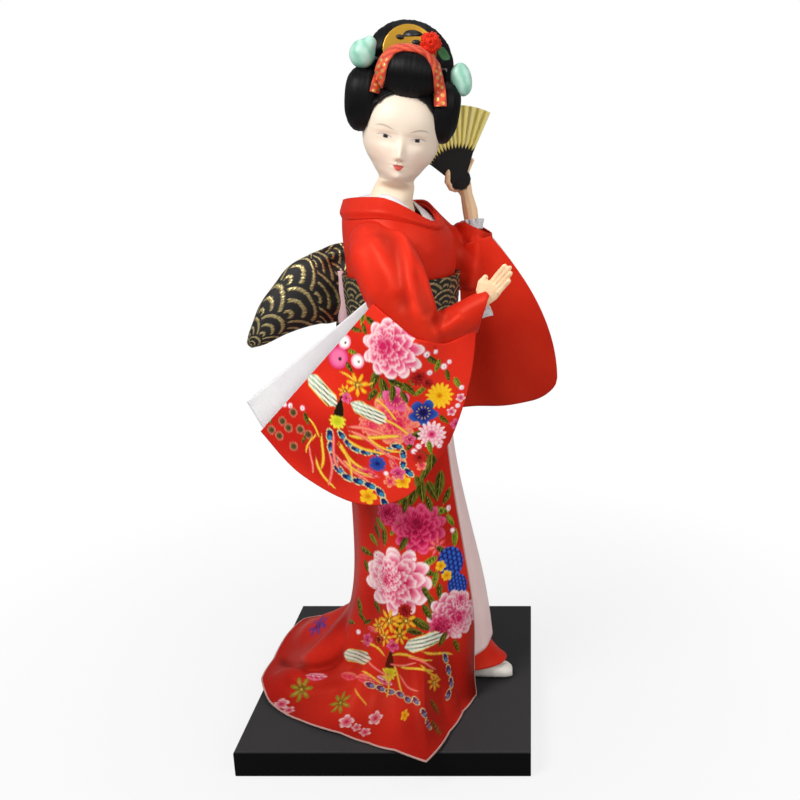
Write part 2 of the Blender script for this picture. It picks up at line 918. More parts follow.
INKS = {
    "pink": ("#C8245A", "#E45C86", "#FBEFEA"),
    "magenta": ("#8E0E36", "#C81850", "#F0648C"),
    "coral": ("#D81E50", "#F05060", "#F8A878"),
    "white": ("#C81C50", "#EA7898", "#FFF4EE"),
    "yellow": ("#D87A10", "#F8B810", "#FFD030"),
    "blue": ("#081048", "#10328C", "#2A5CB0"),
    "wine": ("#5A0810", "#981418", "#D03428"),
    "hot": ("#B01C58", "#DC3C78", "#EC74A0"),
    "teal": ("#122460", "#2A8AB4", "#E4E0A0"),
    "green": ("#1A200A", "#3E4A14", "#9A9A34"),
    "bright": ("#2C4A14", "#6A8A22", "#C0C040"),
    "feather": ("#20281C", "#9CC0A8", "#F4EED8"),
    "gold": ("#7A2A10", "#F0A818", "#FBE060"),
    "rose": ("#C8205A", "#EA6C92", "#FFF0EC"),
    "lime": ("#8A9A10", "#C4C81C", "#EFE440"),
    "olive": ("#22280E", "#D87860", "#4A4A26"),
}


@dataclass(frozen=True)
class Motif:
    """One printed figure: shares across and down the cloth, radius in millimetres, turn in degrees."""

    kind: Bloom
    across: float
    down: float
    size: float
    turn: float
    ink: str

    def draw(self, x: Array, y: Array) -> tuple[Array, Array]:
        """Colour and cover at places measured in radii from the figure's middle.

        Args:
            x: Places along the figure.
            y: Places across it.

        Returns:
            Linear colours and how much they cover the ground.
        """
        deep, mid, pale = (dye(code) for code in INKS[self.ink])
        seed = self.across * 37 + self.down * 91
        r, a = np.hypot(x, y), np.arctan2(y, x)
        colour = np.tile(deep, (len(x), 1))
        cover = np.zeros(len(x))

        def lay(tone: Array, mask: Array) -> None:
            """Lay a tone over what is drawn so far.

            Args:
                tone: One linear colour per place.
                mask: How much it covers.
            """
            nonlocal colour, cover
            colour = blend(colour, tone, mask)
            cover = np.maximum(cover, mask)

        def ring(
            scale: float, count: int, turn: float, depth: float, power: float, rim: float,
            start: float = 0.05, shift: float = 0.0,
        ) -> None:
            """Lay one ring of petals, darker towards the middle.

            Args:
                scale: Reach of the petals.
                count: Petals in the ring.
                turn: Angle of the first petal.
                depth: Depth of the notches between petals.
                power: Sharpness of the notches.
                rim: Paleness of the petals' ends.
                start: Where the shading starts.
                shift: How far the ring is off the figure's middle.
            """
            dx, dy = x - shift * math.cos(seed), y - shift * math.sin(seed)
            r, a = np.hypot(dx, dy), np.arctan2(dy, dx)
            petal = np.abs(np.cos(count / 2 * (a + turn)))
            ruffle = 0.03 * np.sin(9 * a + seed + 5 * turn)
            edge = 1 - depth * (1 - petal) ** power + ruffle + shift * 0.3 * np.sin(23 * a + seed)
            edge *= scale
            t = (r / np.maximum(edge, 1e-3) - start) / (1 - start)
            tone = blend(deep, mid, smooth(t, 0.0, 0.58))
            tone = blend(tone, pale, rim * smooth(t, 0.45, 0.97) * (0.5 + 0.5 * petal))
            tone = blend(tone, deep, 0.6 * smooth(0.3 - petal, 0.0, 0.25) * smooth(t, 0.2, 0.6))
            lay(tone, smooth(edge - r, 0.0, 0.05))

        def solid(tone: Array) -> Array:
            """One tone everywhere."""
            return np.tile(tone, (len(x), 1))

        if self.kind is Bloom.PEONY:
            rings = ((1.0, 11), (0.84, 8), (0.68, 7), (0.51, 6), (0.36, 4), (0.2, 3))
            for level, (scale, count) in enumerate(rings):
                notch, rim = 0.2 + 0.03 * level, 1.0 - 0.04 * level
                ring(scale, count, seed + 1.7 * level, notch, 1.2, rim, 0.55, 0.06 * level)
        elif self.kind is Bloom.DAISY:
            for level, (scale, count) in enumerate(((1.0, 15), (0.76, 13), (0.5, 9))):
                ring(scale, count, seed + 0.9 * level, 0.3, 0.9, 0.9)
            lay(solid(deep), smooth(0.17 - r, 0.0, 0.06))
        elif self.kind is Bloom.PLUM:
            ring(1.0, 5, seed, 0.34, 1.0, 1.0)
            lay(solid(deep), smooth(0.2 - r, 0.0, 0.08))
            stamens = smooth(0.12 - np.abs(r - 0.4), 0.0, 0.1) * smooth(np.cos(12 * a), 0.4, 0.9)
            lay(solid(dye("#F0C030")), 0.8 * stamens)
        elif self.kind is Bloom.STAR:
            petal = np.abs(np.cos(3.5 * a + seed))
            edge = 0.3 + 0.7 * petal**1.5
            lay(blend(deep, mid, smooth(r, 0.1, 0.5)), smooth(edge - r, 0.0, 0.07))
            lay(solid(pale), 0.7 * smooth(petal, 0.93, 0.99) * smooth(0.75 - r, 0.0, 0.1))
            lay(solid(pale), smooth(0.14 - r, 0.0, 0.06))
        elif self.kind is Bloom.CLUSTER:
            row = np.round(y * 3.6)
            column = np.round(x * 3.2 + 0.5 * (row % 2))
            dx, dy = x * 3.2 + 0.5 * (row % 2) - column, y * 3.6 - row
            bead = np.hypot(dx, dy)
            tone = blend(pale * 1.5, mid * 1.3, smooth(bead, 0.1, 0.5))
            body = smooth(1.0 - np.hypot(x, y * 1.15), 0.0, 0.1)
            lay(solid(deep), body)
            lay(tone, body * smooth(0.52 - bead, 0.0, 0.1))
        elif self.kind is Bloom.LEAF:
            half = 0.38 * np.clip(1 - x * x, 0, 1) ** 0.8 * (1 - 0.25 * x)
            tone = blend(deep, mid, smooth(np.abs(y) / np.maximum(half, 1e-3), 0.15, 0.8))
            veins = smooth(np.sin(11 * (x - 1.3 * np.abs(y))), 0.7, 1.0)
            tone = blend(tone, pale, 0.25 * veins + 0.3 * smooth(y, 0.0, 0.2))
            lay(tone, smooth(half - np.abs(y), 0.0, 0.05))
            lay(solid(pale), smooth(0.035 - np.abs(y), 0.0, 0.03) * smooth(half, 0.02, 0.1))
        elif self.kind is Bloom.WING:
            half = 0.36 * smooth(x, -1.05, -0.5) * smooth(1.1 - x, 0.0, 0.5)
            barb = np.sin(34 * y + 4 * x + seed)
            tone = blend(pale, mid, smooth(barb, 0.0, 0.5))
            tone = blend(tone, deep, smooth(barb, 0.7, 0.9) * smooth(x, -0.6, 0.0))
            tone = blend(tone, dye("#F0D060"), smooth(np.abs(y) / np.maximum(half, 1e-3), 0.74, 0.86))
            lay(tone, smooth(half - np.abs(y), 0.0, 0.05))
        elif self.kind is Bloom.PLUME:
            middle = y - 0.3 * np.sin(1.6 * (x + 1) + seed) * (0.4 + 0.3 * (x + 1))
            half = 0.07 * smooth(1.0 - np.abs(x), 0.0, 0.4) + 0.015
            line = smooth(half - np.abs(middle), -0.01, 0.03) * (np.abs(x) < 1)
            lay(blend(pale, mid, smooth(np.abs(middle), 0.0, 0.05)), line)
        elif self.kind is Bloom.BIRD:
            body = np.hypot(x - 0.5, y)
            spike = 0.34 + 0.16 * np.abs(np.sin(5.5 * np.arctan2(y, x - 0.5)))
            lay(blend(mid, pale, smooth(body, 0.1, 0.4)), smooth(spike - body, 0.0, 0.06))
            neck = 0.08 + 0.22 * smooth(x, -1.0, 0.1)
            ends = smooth(x, -1.0, -0.95) * smooth(0.25 - x, 0.0, 0.05)
            lay(solid(dye("#14160E")), smooth(neck - np.abs(y), 0.0, 0.05) * ends)
        elif self.kind is Bloom.EYE:
            t = np.hypot(x / 1.2, y / 0.6)
            lay(solid(pale), smooth(1.0 - t, 0.0, 0.12))
            lay(blend(mid, deep, smooth(np.hypot(x - 0.35, 1.3 * y), 0.2, 0.55)), smooth(0.8 - t, 0.0, 0.1))
        else:
            lay(blend(pale, mid, smooth(r, 0.45, 0.95)), smooth(1.0 - r, 0.0, 0.12))
            lay(solid(dye("#33121A")), smooth(0.2 - np.hypot(x - 0.15, y - 0.1), 0.0, 0.08))
        return colour, cover


@dataclass(frozen=True)
class Sketch:
    """A figure as the picture shows it: place and radius in pixels, turn in degrees."""

    kind: Bloom
    right: float
    down: float
    size: float
    turn: float
    ink: str


def eye_row(points: Sequence[Sequence[float]], radius: float) -> list[tuple[float, ...]]:
    """Eyes in a row along a line of the picture.

    Args:
        points: The line's points in pixels.
        radius: Radius of one eye in pixels.

    Returns:
        Place, radius and turn of each eye.
    """
    spacing, reach = 1.55 * radius, 2.0
    line = np.array(points)
    passed = np.concatenate([[0], np.cumsum(np.hypot(*np.diff(line, axis=0).T))])

    def on(length: float) -> Array:
        """The place at a length along the line."""
        return np.array([np.interp(length, passed, line[:, 0]), np.interp(length, passed, line[:, 1])])

    made = []
    for length in np.linspace(0, passed[-1], max(2, round(passed[-1] / spacing))):
        x, y = on(length)
        way = on(length + reach) - on(length - reach)
        made.append((round(x), round(y), radius, round(math.degrees(math.atan2(way[1], way[0])))))
    return made


def sketched(text: str) -> tuple[Sketch, ...]:
    """Read figures from lines of kind, ink and then right, down, radius and turn of each figure.

    Args:
        text: The lines; one with a radius after its ink gives a row of eyes by the points of its line.

    Returns:
        The figures from the bottom layer up.
    """
    made = []
    for line in text.strip().splitlines():
        head, _, body = line.partition(":")
        kind, ink, *radius = head.split()
        rows = [[float(number) for number in part.split()] for part in body.split(",")]
        if radius:
            rows = eye_row(rows, float(radius[0]))
        made += [Sketch(Bloom(kind), *row, ink) for row in rows]
    return tuple(made)


def cloth_axes(place: Place, across: float, down: float) -> tuple[Array, Array, Array]:
    """A place on a cloth and the unit directions across and down the cloth there.

    Args:
        place: The cloth's surface.
        across: Share across it.
        down: Share down it.

    Returns:
        The place in doll millimetres, and the two directions.
    """
    step = 4e-3
    u, v = np.array([across]), np.array([down])
    right = (place(u + step, v) - place(u - step, v))[0]
    right /= np.linalg.norm(right)
    drop = (place(u, v + step) - place(u, v - step))[0]
    drop -= right * (drop @ right)
    return place(u, v)[0], right, drop / np.linalg.norm(drop)


def laid_out(sketches: Sequence[Sketch], place: Place, seen_to: float) -> tuple[Motif, ...]:
    """Lay the picture's figures on a cloth, each where the camera sees it.

    Args:
        sketches: Figures as the picture shows them.
        place: The cloth's surface.
        seen_to: Share across the cloth that the camera sees.

    Returns:
        The figures on the cloth.
    """
    columns, rows, slack = 700, 500, 1.2
    u, v = np.meshgrid(np.linspace(0.001, seen_to, columns), np.linspace(0.001, 0.999, rows))
    u, v = u.ravel(), v.ravel()
    seen, depth = Studio.picture(place(u, v))
    made = []
    for sketch in sketches:
        away = np.hypot(seen[:, 0] - sketch.right, seen[:, 1] - sketch.down)
        near = np.flatnonzero(away < max(slack, away.min() * 1.3))
        front = near[np.argmin(depth[near])]
        centre, right, drop = cloth_axes(place, u[front], v[front])
        pixels, depths = Studio.picture(np.stack([centre, centre + right, centre + drop]))
        slopes = np.stack([pixels[1] - pixels[0], pixels[2] - pixels[0]], 1)
        turn = math.radians(sketch.turn)
        way = np.linalg.solve(slopes, np.array([math.cos(turn), math.sin(turn)]))
        size = sketch.size * depths[0] / Studio.focus
        made.append(Motif(sketch.kind, round(u[front], 3), round(v[front], 3), round(size, 1),
                          round(math.degrees(math.atan2(way[1], way[0]))), sketch.ink))
    return tuple(made)


def print_cloth(points: Array, place: Place, motifs: Sequence[Motif], ground: Array) -> Array:
    """Paint printed figures over a ground colour.

    Args:
        points: Vertex places in doll millimetres.
        place: The cloth's surface.
        motifs: Figures from the bottom layer up.
        ground: One linear colour per vertex.

    Returns:
        One linear colour per vertex.
    """
    made = ground.copy()
    for motif in motifs:
        centre, right, down = cloth_axes(place, motif.across, motif.down)
        near = np.flatnonzero(np.linalg.norm(points - centre, axis=1) < 1.2 * motif.size)
        offset = (points[near] - centre) / motif.size
        c, s = math.cos(math.radians(motif.turn)), math.sin(math.radians(motif.turn))
        x, y = offset @ right, offset @ down
        colour, cover = motif.draw(c * x + s * y, c * y - s * x)
        made[near] = blend(made[near], colour, cover)
    return made


def seigaiha(x: Array, y: Array, radius: float) -> Array:
    """Overlapping wave scales: 1 on the gold arcs, 0 on the ground.

    Args:
        x: Places across the cloth in millimetres.
        y: Places down it.
        radius: Radius of one scale.

    Returns:
        The share of gold at each place.
    """
    ring = np.full(x.shape, 2.0)
    step = radius / 2
    for row in range(int(np.floor(y.min() / step)) - 3, int(np.ceil(y.max() / step)) + 3):
        shift = radius * (row % 2)
        middle = np.round((x - shift) / (2 * radius)) * 2 * radius + shift
        away = np.hypot(x - middle, y - row * step) / radius
        ring = np.where(away < 1.0, away, ring)
    return smooth(np.cos(ring * 2 * math.pi * 3 + math.pi), 0.5, 0.82) * (ring < 1.5)


def brocade_ink(x: Array, y: Array, radius: float) -> tuple[Array, Array]:
    """Brocade colours and gold shares for places in millimetres.

    Args:
        x: Places across the cloth.
        y: Places down it.
        radius: Radius of one wave scale.

    Returns:
        One linear colour and one share of gold per place.
    """
    gold = seigaiha(x, y, radius)
    glint = 0.5 + 0.5 * np.sin(x * 9.1 + np.sin(y * 3.3) * 2.0) * np.sin(y * 5.7 + x * 0.7)
    thread = blend(dye("#8C7638"), dye("#E0D09A"), glint)
    ground = dye("#0F0B0A")
    return blend(ground, thread, gold), gold


RED_DEEP = dye("#B01A12")
RED_LIGHT = dye("#D42C1C")


def red_ground(points: Array, seed: int) -> Array:
    """The red dye, a little uneven."""
    share = 0.5 + 0.5 * np.tanh(creases(points, 40.0, 3.0, seed))
    return blend(RED_DEEP, RED_LIGHT, share)


@dataclass
class Robe:
    """Bodice, collars, trailing skirt and the two layers under it."""

    finish: Palette
    # share up the bodice, depths in front and behind, half width, heights in front, at the flanks, behind
    rows: tuple[tuple[float, ...], ...] = (
        (0.0, 19.5, 19.5, 20.5, 168, 168, 168),
        (0.3, 20.5, 20.0, 22.0, 181, 181, 181),
        (0.55, 22.0, 21.5, 23.0, 193, 194, 194),
        (0.75, 21.2, 23.0, 21.6, 201, 205, 204),
        (0.9, 19.2, 23.6, 17.6, 206, 213.5, 211.5),
        (1.0, 16.6, 22.8, 13.6, 209, 219, 216.5),
        (1.035, 15.8, 22.6, 12.4, 210, 221, 218),
    )
    # bearing of a place on the hem in degrees and how far out it lies
    hem: tuple[tuple[float, float], ...] = (
        (32, 32), (46, 35), (60, 40.5), (72.5, 52), (83.5, 71), (95, 62.7), (107, 59.6), (120, 59.4),
        (139, 64.6), (155.6, 72), (169, 74.5), (184, 73), (198, 75), (210, 76), (222, 68), (233, 55),
        (252, 43), (275, 36), (300, 33), (318, 31))
    # bearing, width and height of the folds over the base
    folds: tuple[tuple[float, float, float], ...] = (
        (86, 8, 4), (128, 10, 3), (166, 10, 7), (208, 12, 10), (240, 9, 4), (266, 9, 3))
    # height, radius in front and radius elsewhere of the under-robe
    under_rows: tuple[tuple[float, float, float], ...] = (
        (167, 18.4, 18.6), (114, 21.4, 20), (77, 25, 22), (50, 28.2, 23.4), (18, 31.4, 25))
    lobes: tuple[Fold, ...] = (
        Fold((
            (-60, 10, 2), (-55.6, 1, 3), (-46.9, -9.8, 8.9), (-39.9, -17.5, 11.6), (-34.2, -18.6, 12.4),
            (-28.5, -19.5, 14.4), (-24.8, -19.4, 17.9), (-22.5, -16.8, 25)), 1.7, -2.8),
        Fold((
            (-58, -8, 3), (-51.6, -14.8, 5.2), (-42.8, -22.5, 7.4), (-34.4, -24, 8.6), (-24.3, -26, 11.4),
            (-14, -29, 14.6)), 2.8, 1.6),
        Fold((
            (-70, 44, 3), (-60, 30, 4), (-50, 16, 9), (-40, 2, 14), (-30, -8, 24),
            (-24, -12, 32)), 10.5, 2.8),
    )
    # bearings of the front corner and of the back edge
    tip: float = 83.5
    last: float = 318.0
    sketches: tuple[Sketch, ...] = ()
    # share round the skirt that the picture shows, and how far round its figures are repeated
    seen_to: float = 0.72
    repeat: float = 0.48

    def on_bodice(self, u: Array, v: Array, offset: Array | float = 0.0) -> Array:
        """The bodice: u round the chest from the front by the doll's left, v from waist to neckline.

        Args:
            u: Shares round or across it.
            v: Shares along it.
            offset: Distance outside the bodice in millimetres.

        Returns:
            Places in doll millimetres.
        """
        turn = u * 2 * math.pi
        c, s = np.cos(turn), np.sin(turn)
        offset = offset - 3.4 * bell(u % 1, 0.17, 0.09) * smooth(v, 0.72, 1.0)
        sizes = spline([r[0] for r in self.rows], [r[1:] for r in self.rows], v)
        front, back, side, low, flank, rear = np.moveaxis(sizes, -1, 0)
        height = flank + np.where(c > 0, low - flank, rear - flank) * c * c
        return chest(np.where(c > 0, front, back) * c + offset * c, -(side + offset) * s, height)

    def dip(self, u: Array) -> Array:
        """How far the neckline drops on the doll's left."""
        return 0.06 * bell(u % 1, 0.3, 0.12)

    def axis(self, height: Array) -> Array:
        """The skirt's middle at a height."""
        return mix(CHEST_X, 5.0, smooth(WAIST - height, 0, 48)) + 6.0 * smooth(120 - height, 0, 95)

    def on_skirt(self, u: Array, v: Array) -> Array:
        """The trailing skirt: u from its front edge round by the doll's right, v from waist to hem.

        Args:
            u: Shares round or across it.
            v: Shares along it.

        Returns:
            Places in doll millimetres.
        """
        edge_at = 36 + 6 * v * v
        round_to_tip, round_to_last = mix(edge_at, self.tip, u * 7), mix(self.tip, self.last, (u * 7 - 1) / 6)
        bearing = np.where(u < 1 / 7, round_to_tip, round_to_last)
        angle = np.radians(-bearing)
        edge = bell(np.minimum(self.last - bearing, np.maximum(bearing - edge_at, 0)), 0, 26)
        b = bezier(v)
        reach = np.interp(bearing, [h[0] for h in self.hem], [h[1] for h in self.hem])
        pleat = 0.5 * np.cos(np.radians(bearing * 7)) * np.sin(math.pi * v) * (1 - edge)
        radius = b[0] * 20.8 + b[1] * (26.6 + 4 * edge)
        radius = radius + b[2] * (20 + 13.4 * edge + 2.6 * bell(bearing, 180, 50)) + b[3] * reach + pleat
        fold = sum(high * bell(bearing, at, width) for at, width, high in self.folds)
        rise = smooth(v, 0.52, 0.8) - 0.62 * smooth(v, 0.84, 1.0)
        height = b[0] * (WAIST - 0.6) + b[1] * 66 + b[2] + b[3] * LYING + fold * rise
        x, y = self.axis(height) + radius * np.cos(angle), radius * np.sin(angle) + 1
        return stack(x, y, np.maximum(height, LYING))

    def on_draped_skirt(self, u: Array, v: Array) -> Array:
        """The skirt with its finer drape.

        Args:
            u: Shares round or across it.
            v: Shares along it.

        Returns:
            Places in doll millimetres.
        """
        drape = 0.55 * np.sin(u * 52 + 2.2 * np.sin(v * 5))
        drape *= smooth(v, 0.03, 0.3) * (1 - smooth(v, 0.8, 0.98))
        drape += 0.5 * np.sin(u * 91 + 7 * v) * smooth(v, 0.5, 0.75) * (1 - smooth(v, 0.86, 1.0))
        at = self.on_skirt(u, v)
        drape += self.train(at) * (1 - smooth(v, 0.9, 1.0))
        at += self.skirt_out(u, v) * drape[..., None]
        at[..., 2] = np.maximum(at[..., 2], LYING)
        return at

    def train(self, at: Array) -> Array:
        """The lobe of the train and the crease under it, as a lift."""
        flat = at.reshape(-1, 3)
        return sum(fold.lift(flat) for fold in self.lobes).reshape(at.shape[:-1])

    def skirt_out(self, u: Array, v: Array) -> Array:
        """The skirt's outward direction, up where the train lies on the base."""
        side = normals_of(self.on_skirt, np.array([0.2]), np.array([0.2]))[0]
        return normals_of(self.on_skirt, u, v) * (-1.0 if side[1] > 0 else 1.0)

    def build(self) -> None:
        """Make every piece of the robe."""
        middle = np.array([CHEST_X, 0.0, 190.0])
        f = self.finish

        def on_chest(u: Array, v: Array) -> Array:
            """The bodice up to just under the collar's edge."""
            return self.on_bodice(u, v * (0.98 - self.dip(u)))

        mesh, _, v = grid_mesh("bodice", on_chest, 160, 70, (140, 52), joined=True, inside=middle)
        points = to_doll(coordinates(mesh))
        lift = creases(points, 22.0, 0.55, 3) + creases(points, 9.0, 0.2, 4)
        raise_skin(mesh, lift * smooth(v, 0.3, 0.5))
        obj = show("bodice_cloth", mesh, Body.DOLL, [f.satin], ["bodice"])
        thicken(obj, CLOTH)

        def on_collar(u: Array, v: Array) -> Array:
            """The collar, flush with the bodice at its lower edge and a layer above it further up.

            Args:
                u: Shares round or across it.
                v: Shares along it.

            Returns:
                Places in doll millimetres.
            """
            front = bell(np.minimum(u % 1, 1 - u % 1), 0, 0.14)
            offset = mix(0.15, CLOTH + GAP + 0.2, smooth(v, 0.0, 0.4))
            return self.on_bodice(u, mix(0.845 + 0.06 * front, 1.0 - self.dip(u), v), offset)

        mesh, _, _ = grid_mesh("kimono_collar", on_collar, 160, 18, (130, 14), joined=True, inside=middle)
        obj = show("collar_band", mesh, Body.DOLL, [f.satin], ["kimono_collar"])
        thicken(obj, CLOTH)

        def on_under_collar(u: Array, v: Array) -> Array:
            """The white collar inside, showing a little above the red one."""
            inset = CLOTH + GAP + 0.55 + 2 * v + 34 * v * self.dip(u)
            return self.on_bodice(u, mix(0.84, 1.015 - self.dip(u), v), -inset)

        mesh, _, _ = grid_mesh(
            "under_collar", on_under_collar, 140, 12, (110, 14), joined=True, inside=middle)
        obj = show("under_collar_band", mesh, Body.DOLL, [f.white], ["under_collar"])
        thicken(obj, 0.8)
        self.build_skirt()
        self.build_under_layers()

    def build_skirt(self) -> None:
        """The printed skirt, its lining and its piped edge."""
        f = self.finish
        inside = np.array([9.0, 1.0, 60.0])

        def finer_in_front(u: Array) -> Array:
            """Crowd the columns towards the front, where the print is seen."""
            return np.interp(u, (0, 0.7, 1), (0, 0.46, 1))

        def on_print(u: Array, v: Array) -> Array:
            """The draped skirt with crowded columns."""
            return self.on_draped_skirt(finer_in_front(u), v)

        mesh, u, v = grid_mesh("kimono_skirt", on_print, 310, 310, (320, 200), inside=inside)
        points = to_doll(coordinates(mesh))
        ground, height = red_ground(points, 11), points[:, 2]
        # the back, which the picture doesn't show, repeats the front's figures
        front = laid_out(self.sketches, self.on_skirt, self.seen_to)
        back = tuple(replace(m, across=m.across + self.repeat) for m in front if 0.1 < m.across < 0.46)
        ink = print_cloth(points, self.on_draped_skirt, front + back, ground)
        # the train is dyed deeper and printed more faintly than the upper skirt
        ink = blend(ground, ink, mix(0.74, 1.0, smooth(height, 4.0, 45.0)))
        paint(mesh, "print", ink * mix(0.66, 1.0, smooth(height, 4.0, 95.0))[:, None])
        # ridges are lit, and hollows and the edge that turns under lie in shade
        shade = np.clip(self.train(points) / 1.7, -1.5, 0.3)
        shade += 0.25 * np.sin(finer_in_front(u) * 52 + 2.2 * np.sin(v * 5)) * smooth(v, 0.03, 0.3)
        weigh(mesh, "fold", shade - 0.9 * bell(u, 0.0, 0.05) * smooth(v, 0.35, 0.6))
        skirt = show("skirt_print", mesh, Body.DOLL, [f.print], ["kimono_skirt"])

        def on_lining(u: Array, v: Array) -> Array:
            """The lining, half a millimetre inside the print."""
            return self.on_draped_skirt(u, v) - self.skirt_out(u, v) * 0.5

        mesh, _, _ = grid_mesh("skirt_lining", on_lining, 120, 90, (320, 200), inside=inside)
        with reshaped(mesh) as shape:
            bmesh.ops.reverse_faces(shape, faces=shape.faces[:])
        lining = show("skirt_lining", mesh, Body.DOLL, [f.lining])
        rim = np.concatenate([
            np.stack([np.zeros(90), np.linspace(0.02, 1, 90)], 1),
            np.stack([np.linspace(0, 1, 260), np.ones(260)], 1)[1:],
            np.stack([np.ones(90), np.linspace(1, 0.02, 90)], 1)[1:]])
        edge = 0.5 * (self.on_draped_skirt(rim[:, 0], rim[:, 1]) + on_lining(rim[:, 0], rim[:, 1]))
        cord = tube_along("skirt_piping", edge, 0.42, 8)
        piping = show("skirt_piping", cord, Body.DOLL, [f.piping])

    def build_under_layers(self) -> None:
        """The pale under-robe and the red under-skirt."""
        f = self.finish
        middle = np.array([10.0, 0.0, 60.0])

        def on_robe(u: Array, v: Array) -> Array:
            """The pale under-robe, with shallow pleats, longest in front.

            Args:
                u: Shares round or across it.
                v: Shares along it.

            Returns:
                Places in doll millimetres.
            """
            angle = u * 2 * math.pi - math.pi
            height, front, rest = np.moveaxis(spline(np.arange(5), self.under_rows, v * 4), -1, 0)
            pleat = 0.35 * np.sin(angle * 14) * smooth(v, 0.1, 0.5)
            radius = mix(rest, front, bell(angle, 0, 0.48)) + pleat
            height = height - (1 - bell(angle, 0, 0.6)) * 6 * v
            return stack(self.axis(height) + radius * np.cos(angle), radius * np.sin(angle), height)

        mesh, _, _ = grid_mesh("under_robe", on_robe, 140, 80, (150, 150), joined=True, inside=middle)
        obj = show("under_robe_cloth", mesh, Body.DOLL, [f.pink], ["under_robe"])
        thicken(obj, CLOTH)

        def on_under_skirt(u: Array, v: Array) -> Array:
            """The red under-skirt, kicked out over the forward foot.

            Args:
                u: Shares round or across it.
                v: Shares along it.

            Returns:
                Places in doll millimetres.
            """
            angle = u * 2 * math.pi - math.pi
            front = bell(angle, -0.06, 0.3)
            b = bezier(v)
            radius = b[0] * 17.5 + b[1] * mix(19, 23, front)
            radius += b[2] * mix(20.5, 26.2, front) + b[3] * mix(22, 38.5, front)
            height = b[0] * 62 + b[1] * 40 + b[2] * 16 + b[3] * 7.6
            return stack(11 + radius * np.cos(angle), radius * np.sin(angle), height)

        mesh, _, _ = grid_mesh("under_skirt", on_under_skirt, 110, 40, (145, 60), joined=True, inside=middle)
        obj = show("under_skirt_cloth", mesh, Body.DOLL, [f.satin], ["under_skirt"])
        thicken(obj, CLOTH)


def tube_along(name: str, path: Array, radius: float | Array, sides: int) -> Mesh:
    """A closed round tube along points in doll millimetres.

    Args:
        name: Name of the mesh.
        path: Points of the middle line.
        radius: One radius, or one per point.
        sides: Faces round the tube.

    Returns:
        The mesh.
    """
    way = np.gradient(path, axis=0)
    way /= np.linalg.norm(way, axis=1, keepdims=True)
    side = np.cross(way, np.array([0.21, 0.13, 0.97]))
    side /= np.linalg.norm(side, axis=1, keepdims=True)
    other = np.cross(way, side)
    size = np.broadcast_to(np.asarray(radius, float), (len(path),))
    last = len(path) - 1

    def on_tube(u: Array, v: Array) -> Array:
        """The tube's skin: u round it, v along it.

        Args:
            u: Shares round or across it.
            v: Shares along it.

        Returns:
            Places in doll millimetres.
        """
        i = np.round(v * last).astype(int)
        turn = (u * 2 * math.pi)[:, None]
        return path[i] + size[i][:, None] * (np.cos(turn) * side[i] + np.sin(turn) * other[i])

    girth = 6.3 * float(size.max())
    return grid_mesh(name, on_tube, sides, last, (girth, 100.0), joined=True, capped=True)[0]


@dataclass(frozen=True)
class Limb:
    """A lofted form through stations (place, half width, half depth), its width kept near one direction."""

    stations: tuple[tuple[tuple[float, float, float], float, float], ...]
    across: tuple[float, float, float]
    square: float = 2.0

    def place(self, u: Array, v: Array) -> Array:
        """The form's skin: u round it, v along it.

        Args:
            u: Shares round or across it.
            v: Shares along it.

        Returns:
            Places in doll millimetres.
        """
        knots = np.linspace(0, 1, len(self.stations))
        middles = [s[0] for s in self.stations]
        centre = spline(knots, middles, v)
        size = spline(knots, [s[1:] for s in self.stations], v)
        step = 4e-3
        way = spline(knots, middles, np.minimum(v + step, 1))
        way = way - spline(knots, middles, np.maximum(v - step, 0))
        way /= np.linalg.norm(way, axis=-1, keepdims=True)
        side = np.array(self.across) - way * (way @ np.array(self.across))[..., None]
        side /= np.linalg.norm(side, axis=-1, keepdims=True)
        other = np.cross(way, side)
        c, s = np.cos(u * 2 * math.pi), np.sin(u * 2 * math.pi)
        power = 2 / self.square
        wide = size[..., 0] * np.sign(c) * np.abs(c) ** power
        deep = size[..., 1] * np.sign(s) * np.abs(s) ** power
        return centre + side * wide[..., None] + other * deep[..., None]

    def mesh(self, name: str, across: int, down: int, flat: tuple[float, float]) -> Laid:
        """The closed mesh of the form, with each vertex's shares round and along it."""
        return grid_mesh(name, self.place, across, down, flat, joined=True, capped=True)


def chest_point(forward: float, right: float, height: float) -> tuple[float, float, float]:
    """One place given forward of and to the right of the chest's axis."""
    return tuple(chest(np.array(forward), np.array(right), np.array(height)))


